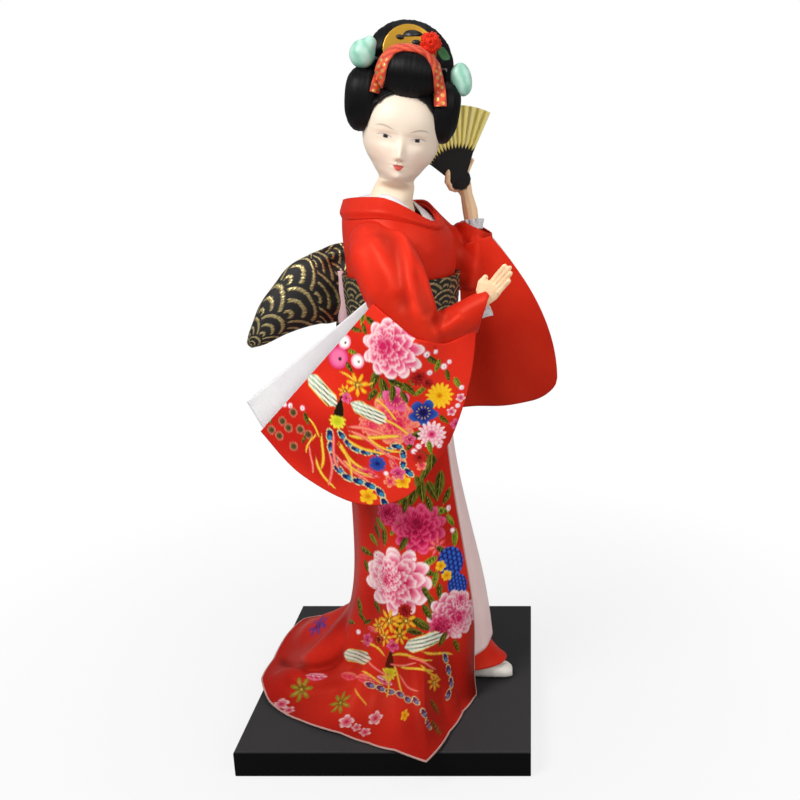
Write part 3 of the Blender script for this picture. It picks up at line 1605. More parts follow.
@dataclass
class Sash:
    """The obi, its bow and the scarf ends tucked behind it."""

    finish: Palette
    robe: Robe
    wave: float = 8.5

    def brocade(self, mesh: Mesh, x: Array, y: Array, radius: float) -> None:
        """Weave the wave pattern into a mesh.

        Args:
            mesh: The mesh.
            x: Each vertex's place across the cloth in millimetres.
            y: Its place down it.
            radius: Radius of one wave scale.
        """
        ink, gold = brocade_ink(x, y, radius)
        paint(mesh, "print", ink)
        weigh(mesh, "gold", gold)

    def build(self) -> None:
        """Make the sash and its bow."""
        f = self.finish
        # the obi reaches from 2 mm to 19.5 mm above the waist, as shares of the bodice's rows
        low, high = 2 / 13 * 0.3, 0.3 + 6.5 / 12.5 * 0.25

        def on_obi(u: Array, v: Array) -> Array:
            """The obi, wound over the bodice and a little fuller in its middle."""
            offset = CLOTH / 2 + GAP + 1.1 + 0.35 * np.sin(math.pi * v)
            return self.robe.on_bodice(u, mix(low, high, v), offset)

        middle = np.array([CHEST_X, 0.0, 181.0])
        mesh, u, v = grid_mesh("obi", on_obi, 300, 48, (148, 22), joined=True, inside=middle)
        self.brocade(mesh, u * 148, (1 - v) * 22, self.wave)
        obj = show("obi_band", mesh, Body.DOLL, [f.brocade], ["obi"])
        thicken(obj, 1.8)
        for side, word in ((1, "right"), (-1, "left")):
            self.build_wing(side, word)
            rows = ((188, 1.6, 1), (184, 2.6, 1.4), (172, 3, 1.5), (166, 2.2, 1.1))
            scarf = Limb(tuple((chest_point(-23.6, 9.6 * side, z), w, d) for z, w, d in rows), tuple(FORWARD))
            mesh, _, _ = scarf.mesh(f"bow_scarf_{word}", 24, 30, (14, 22))
            obj = show(f"scarf_end_{word}", mesh, Body.DOLL, [f.rose], [f"bow_scarf_{word}"])
        rows = ((194, 3.4, 2.2), (190, 5.4, 3.4), (182, 6, 3.8), (174, 5.4, 3.4), (170, 3.4, 2.2))
        knot = Limb(tuple((chest_point(-27.6, 0, z), w, d) for z, w, d in rows), tuple(RIGHT), 2.6)
        mesh, u, v = knot.mesh("bow_knot", 90, 60, (30, 25))
        self.brocade(mesh, u * 30, v * 25, self.wave * 0.62)
        obj = show("bow_knot_wrap", mesh, Body.DOLL, [f.brocade], ["bow_knot"])

        def on_tail(u: Array, v: Array) -> Array:
            """The tail that hangs from the knot, a little wider at its end."""
            forward = -26.4 - 3 * v - 1.6 * np.sin(math.pi * u) * (1 - v) + 0.5 * np.sin(u * 9) * v
            return chest(forward, mix(-9.5, 9.5, u) * (0.9 + 0.14 * v), mix(176, 132, v))

        middle = np.array([CHEST_X, 0.0, 150.0])
        mesh, u, v = grid_mesh("bow_tail", on_tail, 60, 120, (19, 44), inside=middle)
        self.brocade(mesh, u * 19, v * 44, self.wave)
        obj = show("bow_tail_cloth", mesh, Body.DOLL, [f.brocade], ["bow_tail"])
        thicken(obj, 1.4)

    def build_wing(self, side: int, word: str) -> None:
        """One drooping loop of the bow, with the pinch folds at its root.

        Args:
            side: 1 for the doll's right and -1 for its left.
            word: The side's name.
        """
        # forward, outward, height, half height and half depth
        rows = (
            (-20, 3, 186.6, 12.6, 3.6), (-25.4, 5.4, 184.6, 14, 4.4), (-30.5, 10.5, 181, 15.2, 6.4),
            (-37, 17, 177.6, 13.6, 7), (-46, 24.6, 169.4, 8.6, 5.2), (-53, 29, 161.4, 4.6, 3),
            (-56.6, 30.8, 157.4, 1.6, 1.2))
        wing = Limb(tuple((chest_point(f, r * side, z), w, d) for f, r, z, w, d in rows), (0, 0, 1))
        mesh, u, v = wing.mesh(f"bow_wing_{word}", 170, 120, (78, 58))
        points = to_doll(coordinates(mesh))
        pinch = 0.7 * np.cos(u * 2 * math.pi * 9) * (1 - smooth(v, 0.05, 0.5))
        raise_skin(mesh, pinch + creases(points, 16.0, 0.5, 21 + side))
        self.brocade(mesh, ((u - 0.25) % 1) * 78, v * 70, 12.5)
        obj = show(
            f"bow_loop_{word}", mesh, Body.DOLL, [self.finish.brocade], [f"bow_wing_{word}"])


SLEEVE_FOLDS: dict[str, tuple[Fold, ...]] = {
    "right": (
        Fold((
            (7.5, -20.5, 209.1), (12.6, -28.2, 204.2), (14.9, -36.4, 197.7), (16.1, -42, 190.3),
            (17.6, -45, 181.9), (20.8, -46, 173.8)), 1.7, 1.4),
        Fold((
            (1, -24, 209), (5.4, -28, 206.1), (8.6, -33.3, 200.3), (10.9, -38.3, 194.2), (13, -43, 185),
            (15, -45, 178)), 2.6, -1.3),
        Fold(((-1.2, -27.3, 207.1), (5.1, -33.7, 198.8), (9, -38.8, 192.4), (11.5, -43, 183.8)), 2.4, 1.0),
        Fold(((-5.1, -28.2, 202.3), (-2.2, -34.5, 191.8), (1.8, -38.9, 183)), 2.4, 0.6),
        Fold(((18, -38, 196), (21, -44, 186), (24, -45, 177)), 2.4, -1.0),
        Fold(((19.8, -36.6, 197), (24.9, -41.9, 186.6), (27.2, -41.8, 177.9)), 1.4, 0.7),
        Fold(((23.3, -45.7, 169.9), (30.5, -42.3, 173.8), (36, -42, 178)), 1.6, 0.9),
        Fold(((22.4, -45.3, 166.4), (30.2, -40, 165.9), (37.7, -38.6, 169.5)), 1.5, 0.6),
        Fold(((24, -43, 175), (30, -42, 179)), 1.6, -0.8),
    ),
    "left": (
        Fold((
            (38.5, 13.7, 201.5), (37.6, 12.2, 193.2), (35.8, 10.3, 182.8), (34.7, 12.7, 178.1)), 1.8, 1.0),
        Fold(((31.6, 14.7, 201.4), (30.9, 9.6, 191.4), (29.8, 10.2, 185)), 2.2, -0.9),
        Fold(((41.8, 15.6, 202.5), (43.5, 16, 193), (44, 17, 184)), 2.0, -0.7),
    ),
}


def node_mesh(name: str) -> Mesh:
    """The mesh of a solid in the shared frame."""
    return bpy.data.objects[name].data


@dataclass
class Arms:
    """Both arms' sleeves, hanging panels, cuffs and hands."""

    finish: Palette
    sketches: tuple[Sketch, ...] = ()
    folds: dict[str, tuple[Fold, ...]] = field(default_factory=lambda: dict(SLEEVE_FOLDS))

    def build(self) -> None:
        """Make both arms."""
        for side in ("right", "left"):
            self.build_sleeve(side)
            self.build_hand(side)
            self.build_cuff(side)
        self.build_panels()

    def body(self, side: str) -> Body:
        """The body of one arm."""
        return Body.ARM_RIGHT if side == "right" else Body.ARM_LEFT

    def sleeve_skin(self, side: str) -> Mesh:
        """One smooth skin over the sleeve's cap, upper part and forearm part.

        Args:
            side: The arm's side, right or left.

        Returns:
            The skin, open at the mouth.
        """
        if side == "right":
            pivot = chest_point(0, 18.4, SHOULDER - 2.4)
            upper = Limb((
                (pivot, 9.8, 9.8), (chest_point(8.2, 25, 196.6), 12.8, 8.2),
                (chest_point(18, 30.2, 184), 14, 7), (chest_point(22.8, 31, 170), 13.2, 7.4),
                (chest_point(21.6, 31, 160.4), 10.4, 5.4)), tuple(FORWARD))
            fore = Limb((
                ((7.6, -33.4, 168.1), 7.4, 6.4), ((18, -34.4, 167.6), 8.4, 7.2), ((29, -35.4, 171.6), 7.4, 7),
                ((39.2, -36, 177.2), 6.8, 6), ((47, -36.4, 181.4), 6.4, 5.8)), (0, 0, 1))
            cut, way = np.array([42.1, -36, 175]), np.array([0.95, 0.0, -0.31])
        else:
            pivot = chest_point(0, -19, SHOULDER)
            upper = Limb((
                (pivot, 10.2, 10.2), ((25.0, 18.2, 194), 9.4, 9.4), ((36.6, 19.4, 183), 9, 9),
                ((39.6, 19.8, 179.6), 6, 6)), (0, 0, 1))
            fore = Limb((
                ((37, 19.4, 177), 6, 6), ((36.8, 19.6, 185), 8.6, 8.2), ((36.6, 20.4, 196), 8.2, 7.8),
                ((36, 21.2, 206.4), 7.8, 7)), (1, 0, 0))
            cut, way = np.array([35.6, 21.2, 205.5]), np.array([0.42, 0.0, 0.91])
        x, y, z = pivot
        ball = 10.2
        rings = [(ball * math.sin(t), ball * math.cos(t) + 0.02) for t in np.linspace(-1.5, 1.5, 13)]
        cap = Limb(tuple(((x, y, z + rise), wide, wide) for rise, wide in rings), (1, 0, 0))
        parts = [form.mesh("form", 60, 60, (50, 50))[0] for form in (cap, upper, fore)]
        mesh = softened(f"sleeve_{side}", parts, 0.7, 14)
        with reshaped(mesh) as shape:
            cut_off(shape, to_world(cut), way)
        return mesh

    def build_sleeve(self, side: str) -> None:
        """The upper sleeve with its soft folds, open at the mouth.

        Args:
            side: The arm's side, right or left.
        """
        name = f"sleeve_{side}"
        mesh = self.sleeve_skin(side)
        points = to_doll(coordinates(mesh))
        lift = sum(fold.lift(points) for fold in self.folds[side]) + creases(points, 21.0, 0.3, 31)
        raise_skin(mesh, lift)
        weigh(mesh, "fold", np.clip(lift / 1.7, -1.0, 0.5) - 0.55 * smooth(196 - points[:, 2], 0.0, 26.0))
        obj = show(f"{name}_cloth", mesh, self.body(side), [self.finish.satin], [name])
        thicken(obj, 0.6, -1.0)

    def build_hand(self, side: str) -> None:
        """A moulded hand, rounded from its solid.

        Args:
            side: The arm's side, right or left.
        """
        name = f"hand_{side}"
        mesh = softened(name, [node_mesh(name)], 0.22, 6)
        show(f"{name}_moulded", mesh, self.body(side), [self.finish.flesh], [name])

    def build_cuff(self, side: str) -> None:
        """A frilled white cuff at the sleeve's mouth.

        Args:
            side: The arm's side, right or left.
        """
        stations = {
            "right": (((40.4, -36, 179), 3.9), ((44, -36.1, 181.2), 4.4), (0, 0, 1)),
            "left": (((36, 21.3, 202.8), 4.0), ((35.5, 22.1, 207), 4.5), (1, 0, 0)),
        }[side]
        (start, near), (end, far), across = stations
        middle, half = tuple(np.mean([start, end], axis=0)), (near + far) / 2
        form = Limb(((start, near, near), (middle, half, half), (end, far, far)), across)

        def frilled(u: Array, v: Array) -> Array:
            """The cuff, frilled towards its free edge.

            Args:
                u: Shares round or across it.
                v: Shares along it.

            Returns:
                Places in doll millimetres.
            """
            at = form.place(u, v)
            centre = np.array(start) + (np.array(end) - np.array(start)) * np.asarray(v)[..., None]
            turn = u * 2 * math.pi
            frill = 1 + (0.1 * np.sin(turn * 11) + 0.05 * np.sin(turn * 17)) * smooth(v, 0.25, 1.0)
            return centre + (at - centre) * frill[..., None]

        inside = np.array(middle)
        mesh, _, _ = grid_mesh(f"cuff_{side}", frilled, 132, 20, (36, 6), joined=True, inside=inside)
        obj = show(
            f"cuff_{side}_frill", mesh, self.body(side), [self.finish.white], [f"cuff_{side}"])
        thicken(obj, 0.4)

    @staticmethod
    def panel(top: Sequence, bottom: Sequence, waves: float, swell: float, corner: float = 0.0) -> Place:
        """A hanging panel ruled between two edges.

        Args:
            top: Points of the upper edge.
            bottom: Points of the lower edge.
            waves: Height of the waves across it.
            swell: How far its free edge swells.
            corner: How far its outer corner is rounded.

        Returns:
            The panel's surface.
        """

        def place(u: Array, v: Array) -> Array:
            """The panel: u along its edges, v down it.

            Args:
                u: Shares round or across it.
                v: Shares along it.

            Returns:
                Places in doll millimetres.
            """
            u = np.clip(u, 0, 1)
            v = v * (1 - corner * (1 - np.sqrt(1 - np.clip(u * 4 - 3, 0, 1) ** 2)))
            high = spline(np.linspace(0, 1, len(top)), top, u)
            low = spline(np.linspace(0, 1, len(bottom)), bottom, u)
            at = mix(high, low, np.asarray(v)[..., None])
            fold = waves * np.sin(u * 2.6 * math.pi + 0.6) * smooth(v, 0.05, 0.8)
            return at + stack(swell * 4 * v * (1 - v) * u**3, fold, 0.0 * u)

        return place

    def build_panels(self) -> None:
        """The hanging sleeve panels and their linings."""
        f = self.finish
        drop_right = self.panel(
            [(1.6, -39, 181.4), (8.2, -43.4, 176.9), (16.6, -46.9, 170.8), (21.1, -47.1, 169.2),
             (29.5, -42, 167.2), (40, -39.5, 172)],
            [(-47.4, -30, 128.3), (-30.2, -35, 111), (-8, -38.6, 99.8), (12, -38.6, 104.4), (28.5, -37, 126)],
            -1.2, 2.4)
        lining_right = self.panel(
            [(-1.4, -33.6, 182), (9, -33.6, 167), (24, -34, 166), (36, -33.6, 171)],
            [(-53.4, -26, 139.4), (-40, -28.4, 121), (-12, -33, 108), (10, -33.4, 112), (26, -32.6, 129)],
            -1, 1.4)
        drop_left = self.panel(
            [(30.4, 13.8, 196), (36, 12.6, 199), (43.6, 14.6, 201)],
            [(30.4, 14.6, 124.6), (50, 13.4, 126.4), (72.4, 15, 129.4)], 1.2, 9, 0.12)
        lining_left = self.panel(
            [(31, 27, 196), (37, 29, 200), (43.2, 27, 200)],
            [(29.4, 21, 126), (48, 19.6, 128.4), (70, 20, 132)], 1, 8.4, 0.12)
        behind = np.array([0.0, 60.0, 140.0])
        mesh, _, _ = grid_mesh("sleeve_drop_right", drop_right, 180, 150, (88, 74), inside=behind)
        points = to_doll(coordinates(mesh))
        motifs = laid_out(self.sketches, drop_right, 0.999)
        paint(mesh, "print", print_cloth(points, drop_right, motifs, 1.2 * red_ground(points, 12)))
        obj = show(
            "sleeve_panel_right", mesh, Body.ARM_RIGHT, [f.print, f.white], ["sleeve_drop_right"])
        thicken(obj, CLOTH, 0.0, 1, 0)
        right, left = (Body.ARM_RIGHT, "sleeve_right_cloth"), (Body.ARM_LEFT, "sleeve_left_cloth")
        white, red = (Slot.WHITE, f.white), (Slot.SATIN, f.satin)
        for name, word, place, (body, rests), (slot, finish), area in (
            ("sleeve_lining_right", "lining_panel_right", lining_right, right, white, (0.085, 0.062)),
            ("sleeve_drop_left", "sleeve_panel_left", drop_left, left, red, (0.036, 0.072)),
            ("sleeve_lining_left", "lining_panel_left", lining_left, left, white, (0.036, 0.072)),
        ):
            mesh, _, v = grid_mesh(name, place, 90, 80, (area[0] * 1000, area[1] * 1000), inside=behind)
            raise_skin(mesh, creases(to_doll(coordinates(mesh)), 24.0, 0.5, 41) * smooth(v, 0.1, 0.4))
            weigh(mesh, "fold", mix(0.4, -0.7, smooth(v, 0.0, 0.65)))
            obj = show(word, mesh, body, [finish], [name])
            thicken(obj, CLOTH)


def from_head(points: Array) -> Array:
    """Head-frame places to doll millimetres."""
    turn = np.array(HEAD_PLACE.to_3x3())
    return points @ turn.T + np.array(HEAD_PLACE.translation)


def to_head(points: Array) -> Array:
    """Doll millimetres to head-frame places."""
    turn = np.array(HEAD_PLACE.to_3x3())
    return (points - np.array(HEAD_PLACE.translation)) @ turn


@dataclass
class Head:
    """The moulded head with its painted face."""

    finish: Palette
    # height, half width, reach in front and behind, and squareness of the front
    rows: tuple[tuple[float, ...], ...] = (
        (-5, 9.4, 8.4, 8.4, 2), (-1, 10.6, 9, 9, 2), (1, 10.6, 9, 9, 2), (5, 8.7, 8, 8.2, 2),
        (CHIN - 1.4, 7.4, 7.7, 8.2, 2), (CHIN - 0.2, 7, 11.4, 9, 1.5), (CHIN + 1.2, 7.4, 14.2, 10, 1.5),
        (CHIN + 3.2, 8.9, 15.2, 12, 1.65), (CHIN + 5, 10.1, 15.4, 13.2, 1.75),
        (CHIN + 6.4, 11.1, 15.6, 14, 1.8), (CHIN + 8.2, 12.5, 15.6, 14.8, 1.9),
        (CHIN + 9.8, 13.4, 15.6, 15.4, 2), (CHIN + 12, 14.4, 15.6, 16, 2.1),
        (CHIN + 14.5, 15, 15.4, 16.5, 2.2), (CHIN + 17, 15.3, 15.5, 16.8, 2.25),
        (CHIN + 20, 15.4, 16, 17, 2.25), (CHIN + 24, 15.2, 16, 16.8, 2.2),
        (CHIN + 29, 13.6, 14.4, 15.6, 2.1), (CROWN - 5, 10.6, 11.4, 12.6, 2),
        (CROWN - 2, 6.6, 7.2, 8, 2), (CROWN, 2.4, 2.6, 3, 2))

    def place(self, u: Array, v: Array) -> Array:
        """The head's skin in its own frame: u round it from the face, v up it.

        Args:
            u: Shares round or across it.
            v: Shares along it.

        Returns:
            Places in the head's frame.
        """
        height = np.interp(v, [0, 0.12, 0.86, 1], [-5, CHIN - 1.6, CHIN + 23, CROWN])
        turn = u * 2 * math.pi
        angle = turn - 0.55 * np.sin(turn)
        s, c = np.sin(angle), np.cos(angle)
        sizes = spline([r[0] for r in self.rows], [r[1:] for r in self.rows], height)
        wide, front, back, square = np.moveaxis(sizes, -1, 0)
        reach, power = np.where(c > 0, front, back), np.where(c > 0, square, 2.0)
        size = (np.abs(s / wide) ** power + np.abs(c / reach) ** power) ** (-1 / power)
        x, above = size * s, height - CHIN
        side = np.abs(x)
        # nose and its wings, eye sockets, lids, lips, chin and cheeks
        relief = 2.6 * bell(x, 0, 1.2) * np.where(above < 9.6, bell(above, 9.6, 1.2), bell(above, 9.6, 3.9))
        relief += 0.42 * bell(side, 1.6, 0.7) * bell(above, 9.2, 0.9)
        relief -= 0.9 * bell(side, 5.9, 2.6) * bell(above, 16.6, 1.9)
        relief += 0.55 * bell(side, 6.5, 2.4) * bell(above, 16.3, 0.9)
        relief += 0.3 * bell(side, 6.5, 3.2) * bell(above, 18.4, 0.8)
        relief += 0.5 * bell(side, 1.1, 0.9) * bell(above, 6.8, 0.55)
        relief += 0.55 * bell(x, 0, 1.5) * bell(above, 5.2, 0.65)
        relief -= 0.3 * bell(x, 0, 2.2) * bell(above, 6.05, 0.22)
        relief -= 0.2 * bell(x, 0, 1.8) * bell(above, 3.6, 0.7)
        relief += 0.45 * bell(x, 0, 2.8) * bell(above, 1.6, 1.5)
        relief += 0.3 * bell(side, 8, 3.4) * bell(above, 9.5, 3)
        # the neck leans away from the way the face looks
        lean = 1.8 * smooth(CHIN - height, 0.0, 12.0)
        return stack(x - lean, -(size * c + np.where(c > 0, relief, 0)), height)

    def features(self, at: Array) -> Array:
        """The painted face: one colour per head-frame place.

        Args:
            at: Places in the head's frame.

        Returns:
            One linear colour per place.
        """
        x, above = at[:, 0], at[:, 2] - CHIN
        side, front = np.abs(x), smooth(-at[:, 1], 2.0, 8.0)
        skin = np.tile(dye("#F1DFCA"), (len(at), 1))

        def lay(code: str, share: Array) -> None:
            """Brush a colour over the front of the face."""
            nonlocal skin
            skin = blend(skin, dye(code), share)

        # cheeks, the warmer neck and the shaded lids
        lay("#EEC6B2", 0.35 * bell(side, 8.2, 3.2) * bell(above, 9.5, 3.4) * front)
        lay("#FAE0BE", 0.8 * smooth(4 - above, 0.0, 8.0) * (1 - 0.6 * front))
        lay("#DFC0AA", 0.35 * bell(side, 6.2, 3.2) * bell(above, 18.0, 1.1) * front)
        # eyes: t runs from one corner at -1 to the other at 1
        t = (side - 6.4) / 3.0
        open_eye = np.clip(1 - t * t, 0, 1)
        middle = 16.4 + 0.3 * t
        upper, lower = middle + 0.85 * open_eye**0.8, middle - 0.55 * open_eye**0.9
        inside = smooth(upper - above, 0.0, 0.12) * smooth(above - lower, 0.0, 0.12)
        inside = inside * (np.abs(t) < 1) * front
        gaze = np.hypot(side - 6.1, above - 16.5)
        lay("#E2D5C9", inside)
        lay("#2A1A14", inside * smooth(1.12 - gaze, 0.0, 0.3))
        lay("#060404", inside * smooth(0.75 - gaze, 0.0, 0.2))
        tail = np.where(t > 1, middle + 0.1 * (t - 1), upper)
        lash = smooth(0.2 - np.abs(above - tail - 0.04), 0.0, 0.14)
        lay("#4A3A32", 0.8 * lash * smooth(1.2 - t, 0.0, 0.5) * smooth(t + 1.05, 0.0, 0.35) * front)
        crease = middle + 1.6 * np.clip(1 - (t * 0.85) ** 2, 0, 1) ** 0.7
        line = smooth(0.2 - np.abs(above - crease), 0.0, 0.18) * (np.abs(t) < 1.05)
        lay("#C9AE9C", 0.5 * line * front)
        # brows
        arch = spline([2.4, 4.0, 6.0, 8.5, 11.2], [18.8, 19.5, 20.2, 20.5, 19.8], np.clip(side, 2.4, 11.2))
        thick = 0.36 * smooth(side, 2.2, 5.0) * smooth(11.8 - side, 0.0, 4.0) + 0.08
        brow = smooth(thick - np.abs(above - arch), -0.1, 0.3)
        lay("#A39484", 0.6 * brow * smooth(side, 2.3, 3.2) * smooth(11.0 - side, 0.0, 1.2) * front)
        # lips and nostrils
        line = 5.7 + 0.09 * side**2
        top = line + 0.85 * np.clip(1 - (side / 2.55) ** 2, 0, 1) + 0.15 * bell(side, 0.8, 0.5)
        foot = line - 1.45 * np.clip(1 - (side / 2.1) ** 2, 0, 1)
        lips = smooth(top - above, 0.0, 0.25) * smooth(above - foot, 0.0, 0.25) * (side < 2.55) * front
        lay("#D63A2A", 0.92 * lips)
        lay("#A8241F", 0.7 * lips * bell(above - line, 0.0, 0.14))
        lay("#C8A08C", np.clip(0.7 * bell(side, 0.9, 0.35) * bell(above, 8.25, 0.28) * front, 0, 1))
        return skin

    def build(self) -> None:
        """Make the head."""

        def on_head(u: Array, v: Array) -> Array:
            """The head's skin on the doll."""
            return from_head(self.place(u, v))

        mesh, _, _ = grid_mesh("head", on_head, 260, 250, (100, 50), joined=True, capped=True)
        paint(mesh, "paint", self.features(to_head(to_doll(coordinates(mesh)))))
        show("head_moulded", mesh, Body.HEAD, [self.finish.face], ["head"])


@dataclass(frozen=True)
class Tress:
    """One mass of dressed hair: an ellipsoid combed across one direction."""

    name: str
    centre: tuple[float, float, float]
    radii: tuple[float, float, float]
    lean: float = 0.0
    radial: bool = False
    square: float = 1.0


@dataclass
class Hair:
    """The dressed hair and everything worn in it."""

    finish: Palette
    tresses: tuple[Tress, ...] = (
        Tress("hair_wing_right", (-16.4, -0.8, 41), (6.9, 11.4, 12.2), 0.06, square=0.8),
        Tress("hair_wing_left", (15.2, -0.8, 41), (6.3, 11.4, 12.2), -0.06, square=0.8),
        Tress("hair_front_roll", (0, -6.5, 53), (12.5, 11, 10.5)),
        Tress("hair_topknot", (0, 7, 57), (17.5, 12.5, 16.5)),
        Tress("hair_nape", (0, 15, 28), (12, 6.8, 11), 0.0, True),
    )

    def build(self) -> None:
        """Make the hair and its ornaments."""
        for tress in self.tresses:
            self.build_tress(tress)
        self.build_cap()
        self.build_ribbon()
        self.build_comb()
        self.build_flower()
        self.build_beads()

    def combed(self, mesh: Mesh, strand: Array, depth: float, seed: int) -> None:
        """Press strand grooves into a mesh: strand is the place across the strands in millimetres.

        Args:
            mesh: The mesh.
            strand: Each vertex's place across the strands in millimetres.
            depth: Depth of the grooves in millimetres.
            seed: Seed of the draw.
        """
        draw = np.random.default_rng(seed)
        groove = np.zeros(len(strand))
        for wave, share in ((4.6, 0.45), (2.1, 0.35), (1.1, 0.2)):
            phase = draw.uniform(0, 6.28)
            wander = 0.8 * np.sin(strand * 0.9 + draw.uniform(0, 6))
            groove += share * np.sin(strand * 2 * math.pi / wave + phase + wander)
        raise_skin(mesh, depth * groove)

    def build_tress(self, tress: Tress) -> None:
        """One combed mass of hair.

        Args:
            tress: The mass.
        """
        lean = np.array(Matrix.Rotation(-tress.lean, 3, "Y"))

        def local(u: Array, v: Array) -> Array:
            """The mass with all its radii one.

            Args:
                u: Shares round or across it.
                v: Shares along it.

            Returns:
                Places in shares of the radii.
            """
            turn, rise = u * 2 * math.pi, (v - 0.5) * math.pi
            if tress.radial:
                return stack(np.cos(rise) * np.cos(turn), np.cos(rise) * np.sin(turn), np.sin(rise))
            waves = (np.sin(rise), np.cos(rise), np.cos(turn), np.sin(turn))
            x, r, y, z = (np.sign(c) * np.abs(c) ** tress.square for c in waves)
            return stack(x, r * y, r * z)

        def place(u: Array, v: Array) -> Array:
            """The mass on the doll."""
            shape = local(u, v) * np.array(tress.radii)
            return from_head(shape @ lean.T + np.array(tress.centre))

        flat = (60, 40) if tress.radial else (60, 2 * tress.radii[0])
        middle = from_head(np.array(tress.centre))
        mesh, _, _ = grid_mesh(tress.name, place, 128, 110, flat, joined=True, capped=True, inside=middle)
        with reshaped(mesh) as shape:
            bmesh.ops.remove_doubles(shape, verts=shape.verts[:], dist=2e-6)
        at = to_head(to_doll(coordinates(mesh))) - np.array(tress.centre)
        strand = np.arctan2(at[:, 1], at[:, 0]) * 9 if tress.radial else at[:, 0]
        self.combed(mesh, strand, 0.16, len(tress.name))
        turn_map(mesh)
        show(f"{tress.name}_combed", mesh, Body.HEAD, [self.finish.hair], [tress.name])

    def build_cap(self) -> None:
        """The close-combed hair over the skull, open round the face."""
        mesh = softened("hair_cap", [node_mesh("hair_cap")], 0.55, 6)
        at = to_head(to_doll(coordinates(mesh)))
        # the ends before the ears are tucked close to the cheeks
        at[:, 0] *= 1 - 0.2 * smooth(29 - at[:, 2], 0.0, 6.0)
        place_vertices(mesh, to_world(from_head(at)))
        strand = np.arctan2(at[:, 1] - 2.5, at[:, 0]) * 14
        self.combed(mesh, strand, 0.14, 5)
        thread = mesh.uv_layers.new(name="Thread")
        loops = np.empty(len(mesh.loops), np.int32)
        mesh.loops.foreach_get("vertex_index", loops)
        uv = np.stack([strand[loops] / 1000, at[loops, 2] / 1000], axis=1)
        thread.data.foreach_set("uv", uv.astype(np.float32).ravel())
        show("hair_cap_combed", mesh, Body.HEAD, [self.finish.hair], ["hair_cap"])

    def front(self, x: Array, z: Array) -> Array:
        """Front of the hair at a place seen from the front, bridging the clefts between the masses.

        Args:
            x: Places across the head's frame.
            z: Heights in it.

        Returns:
            Depths in the head's frame.
        """
        soft = 2.0

        def reach(tress: Tress) -> Array:
            """Front of one mass.

            Args:
                tress: The mass.

            Returns:
                Depths in the head's frame.
            """
            power = 2 / tress.square
            across = np.abs((x - tress.centre[0]) / tress.radii[0]) ** power
            inner = 1 - across - np.abs((z - tress.centre[2]) / tress.radii[2]) ** power
            return tress.centre[1] - tress.radii[1] * np.maximum(inner, 0) ** (1 / power)

        return -soft * np.log(sum(np.exp(-reach(tress) / soft) for tress in self.tresses[:3])) + 0.5

    def build_ribbon(self) -> None:
        """The red ribbon over the front roll, with its gold dots."""
        way = [
            (-11.6, 44), (-10.8, 50), (-9.6, 56), (-6.2, 60.8), (0, 62.2), (6.2, 61), (10, 56.6), (12, 50.4),
            (13.4, 43)]
        knots = np.linspace(0, 1, len(way))

        def place(u: Array, v: Array) -> Array:
            """The ribbon laid over the hair: u along it, v across it.

            Args:
                u: Shares round or across it.
                v: Shares along it.

            Returns:
                Places in doll millimetres.
            """
            step = 0.01
            at = spline(knots, way, np.clip(u, 0, 1))
            ahead = spline(knots, way, np.clip(u + step, 0, 1))
            ahead = ahead - spline(knots, way, np.clip(u - step, 0, 1))
            ahead /= np.linalg.norm(ahead, axis=-1, keepdims=True)
            spread = (v - 0.5) * mix(4.4, 2.5, np.sin(math.pi * np.clip(u, 0, 1)) ** 2)
            x, z = at[..., 0] - ahead[..., 1] * spread, at[..., 1] + ahead[..., 0] * spread
            gather = 0.3 * np.sin(v * 21 + 6 * u) * np.sin(math.pi * u) ** 4
            return from_head(stack(x, self.front(x, z) - GAP - 0.9 - 0.3 * np.sin(math.pi * v) - gather, z))

        long, wide = 52, 4.4
        inside = from_head(np.array([0, 0, 45.0]))
        mesh, u, v = grid_mesh("hair_ribbon", place, 220, 22, (long, wide), inside=inside)
        along, across = u * long, (v - 0.5) * wide
        column = np.where(across > 0, 1.0, -1.0)
        dot = np.hypot((along + 0.6 * column) % 2.4 - 1.2, across - 0.95 * column)
        gold = smooth(0.72 - dot, 0.0, 0.3) * smooth(np.abs(u - 0.5), 0.2, 0.28)
        red = blend(dye("#B82418"), dye("#E4541C"), 0.5 + 0.5 * np.sin(along * 1.3 + 9 * v))
        paint(mesh, "print", blend(red, dye("#F2C46A"), gold))
        weigh(mesh, "gold", gold)
        obj = show("hair_ribbon_cloth", mesh, Body.HEAD, [self.finish.ribbon], ["hair_ribbon"])
        thicken(obj, 0.8)

    def build_comb(self) -> None:
        """The half-moon comb: a bevelled gilt plate with an inlaid black crescent."""
        shape = self.disc(10.3, 72, -4, (0, -1, 0))
        for vert in shape.verts:
            if vert.co.y < 0:
                vert.co.x *= 1 - 0.012 * abs(vert.co.y) ** 1.5
        self.fatten(shape, 1.4)
        sharp = [e for e in shape.edges if len(e.link_faces) == 2 and e.calc_face_angle() > 1.0]
        bmesh.ops.bevel(shape, geom=sharp, offset=0.32, segments=3, profile=0.5, affect="EDGES", material=-1)
        lean = Matrix.Rotation(-0.16, 4, "X") @ Matrix.Rotation(math.pi / 2, 4, "X")
        place = Matrix.Translation((-0.6, -5.4, 60.8)) @ lean @ Matrix.Translation((0, 0, -0.7))
        self.settle(shape, place, "hair_comb_plate", self.finish.gilt, ["hair_comb"])
        inlays = (((1.0, 5.6), 4.2, 0.6), ((-4.2, 4.8), 1.5, -1.6), ((2.2, 3.8), 1.7, -1.6))
        for part, (at, radius, low) in enumerate(inlays, 1):
            inlay = self.disc(radius, 48, low, (0.3, -1, 0))
            bmesh.ops.scale(inlay, vec=(1.0, 0.62, 1.0), verts=inlay.verts[:])
            self.fatten(inlay, 0.3)
            spot = place @ Matrix.Translation((*at, 1.3))
            self.settle(inlay, spot, f"hair_comb_inlay_{part}", self.finish.ebony)

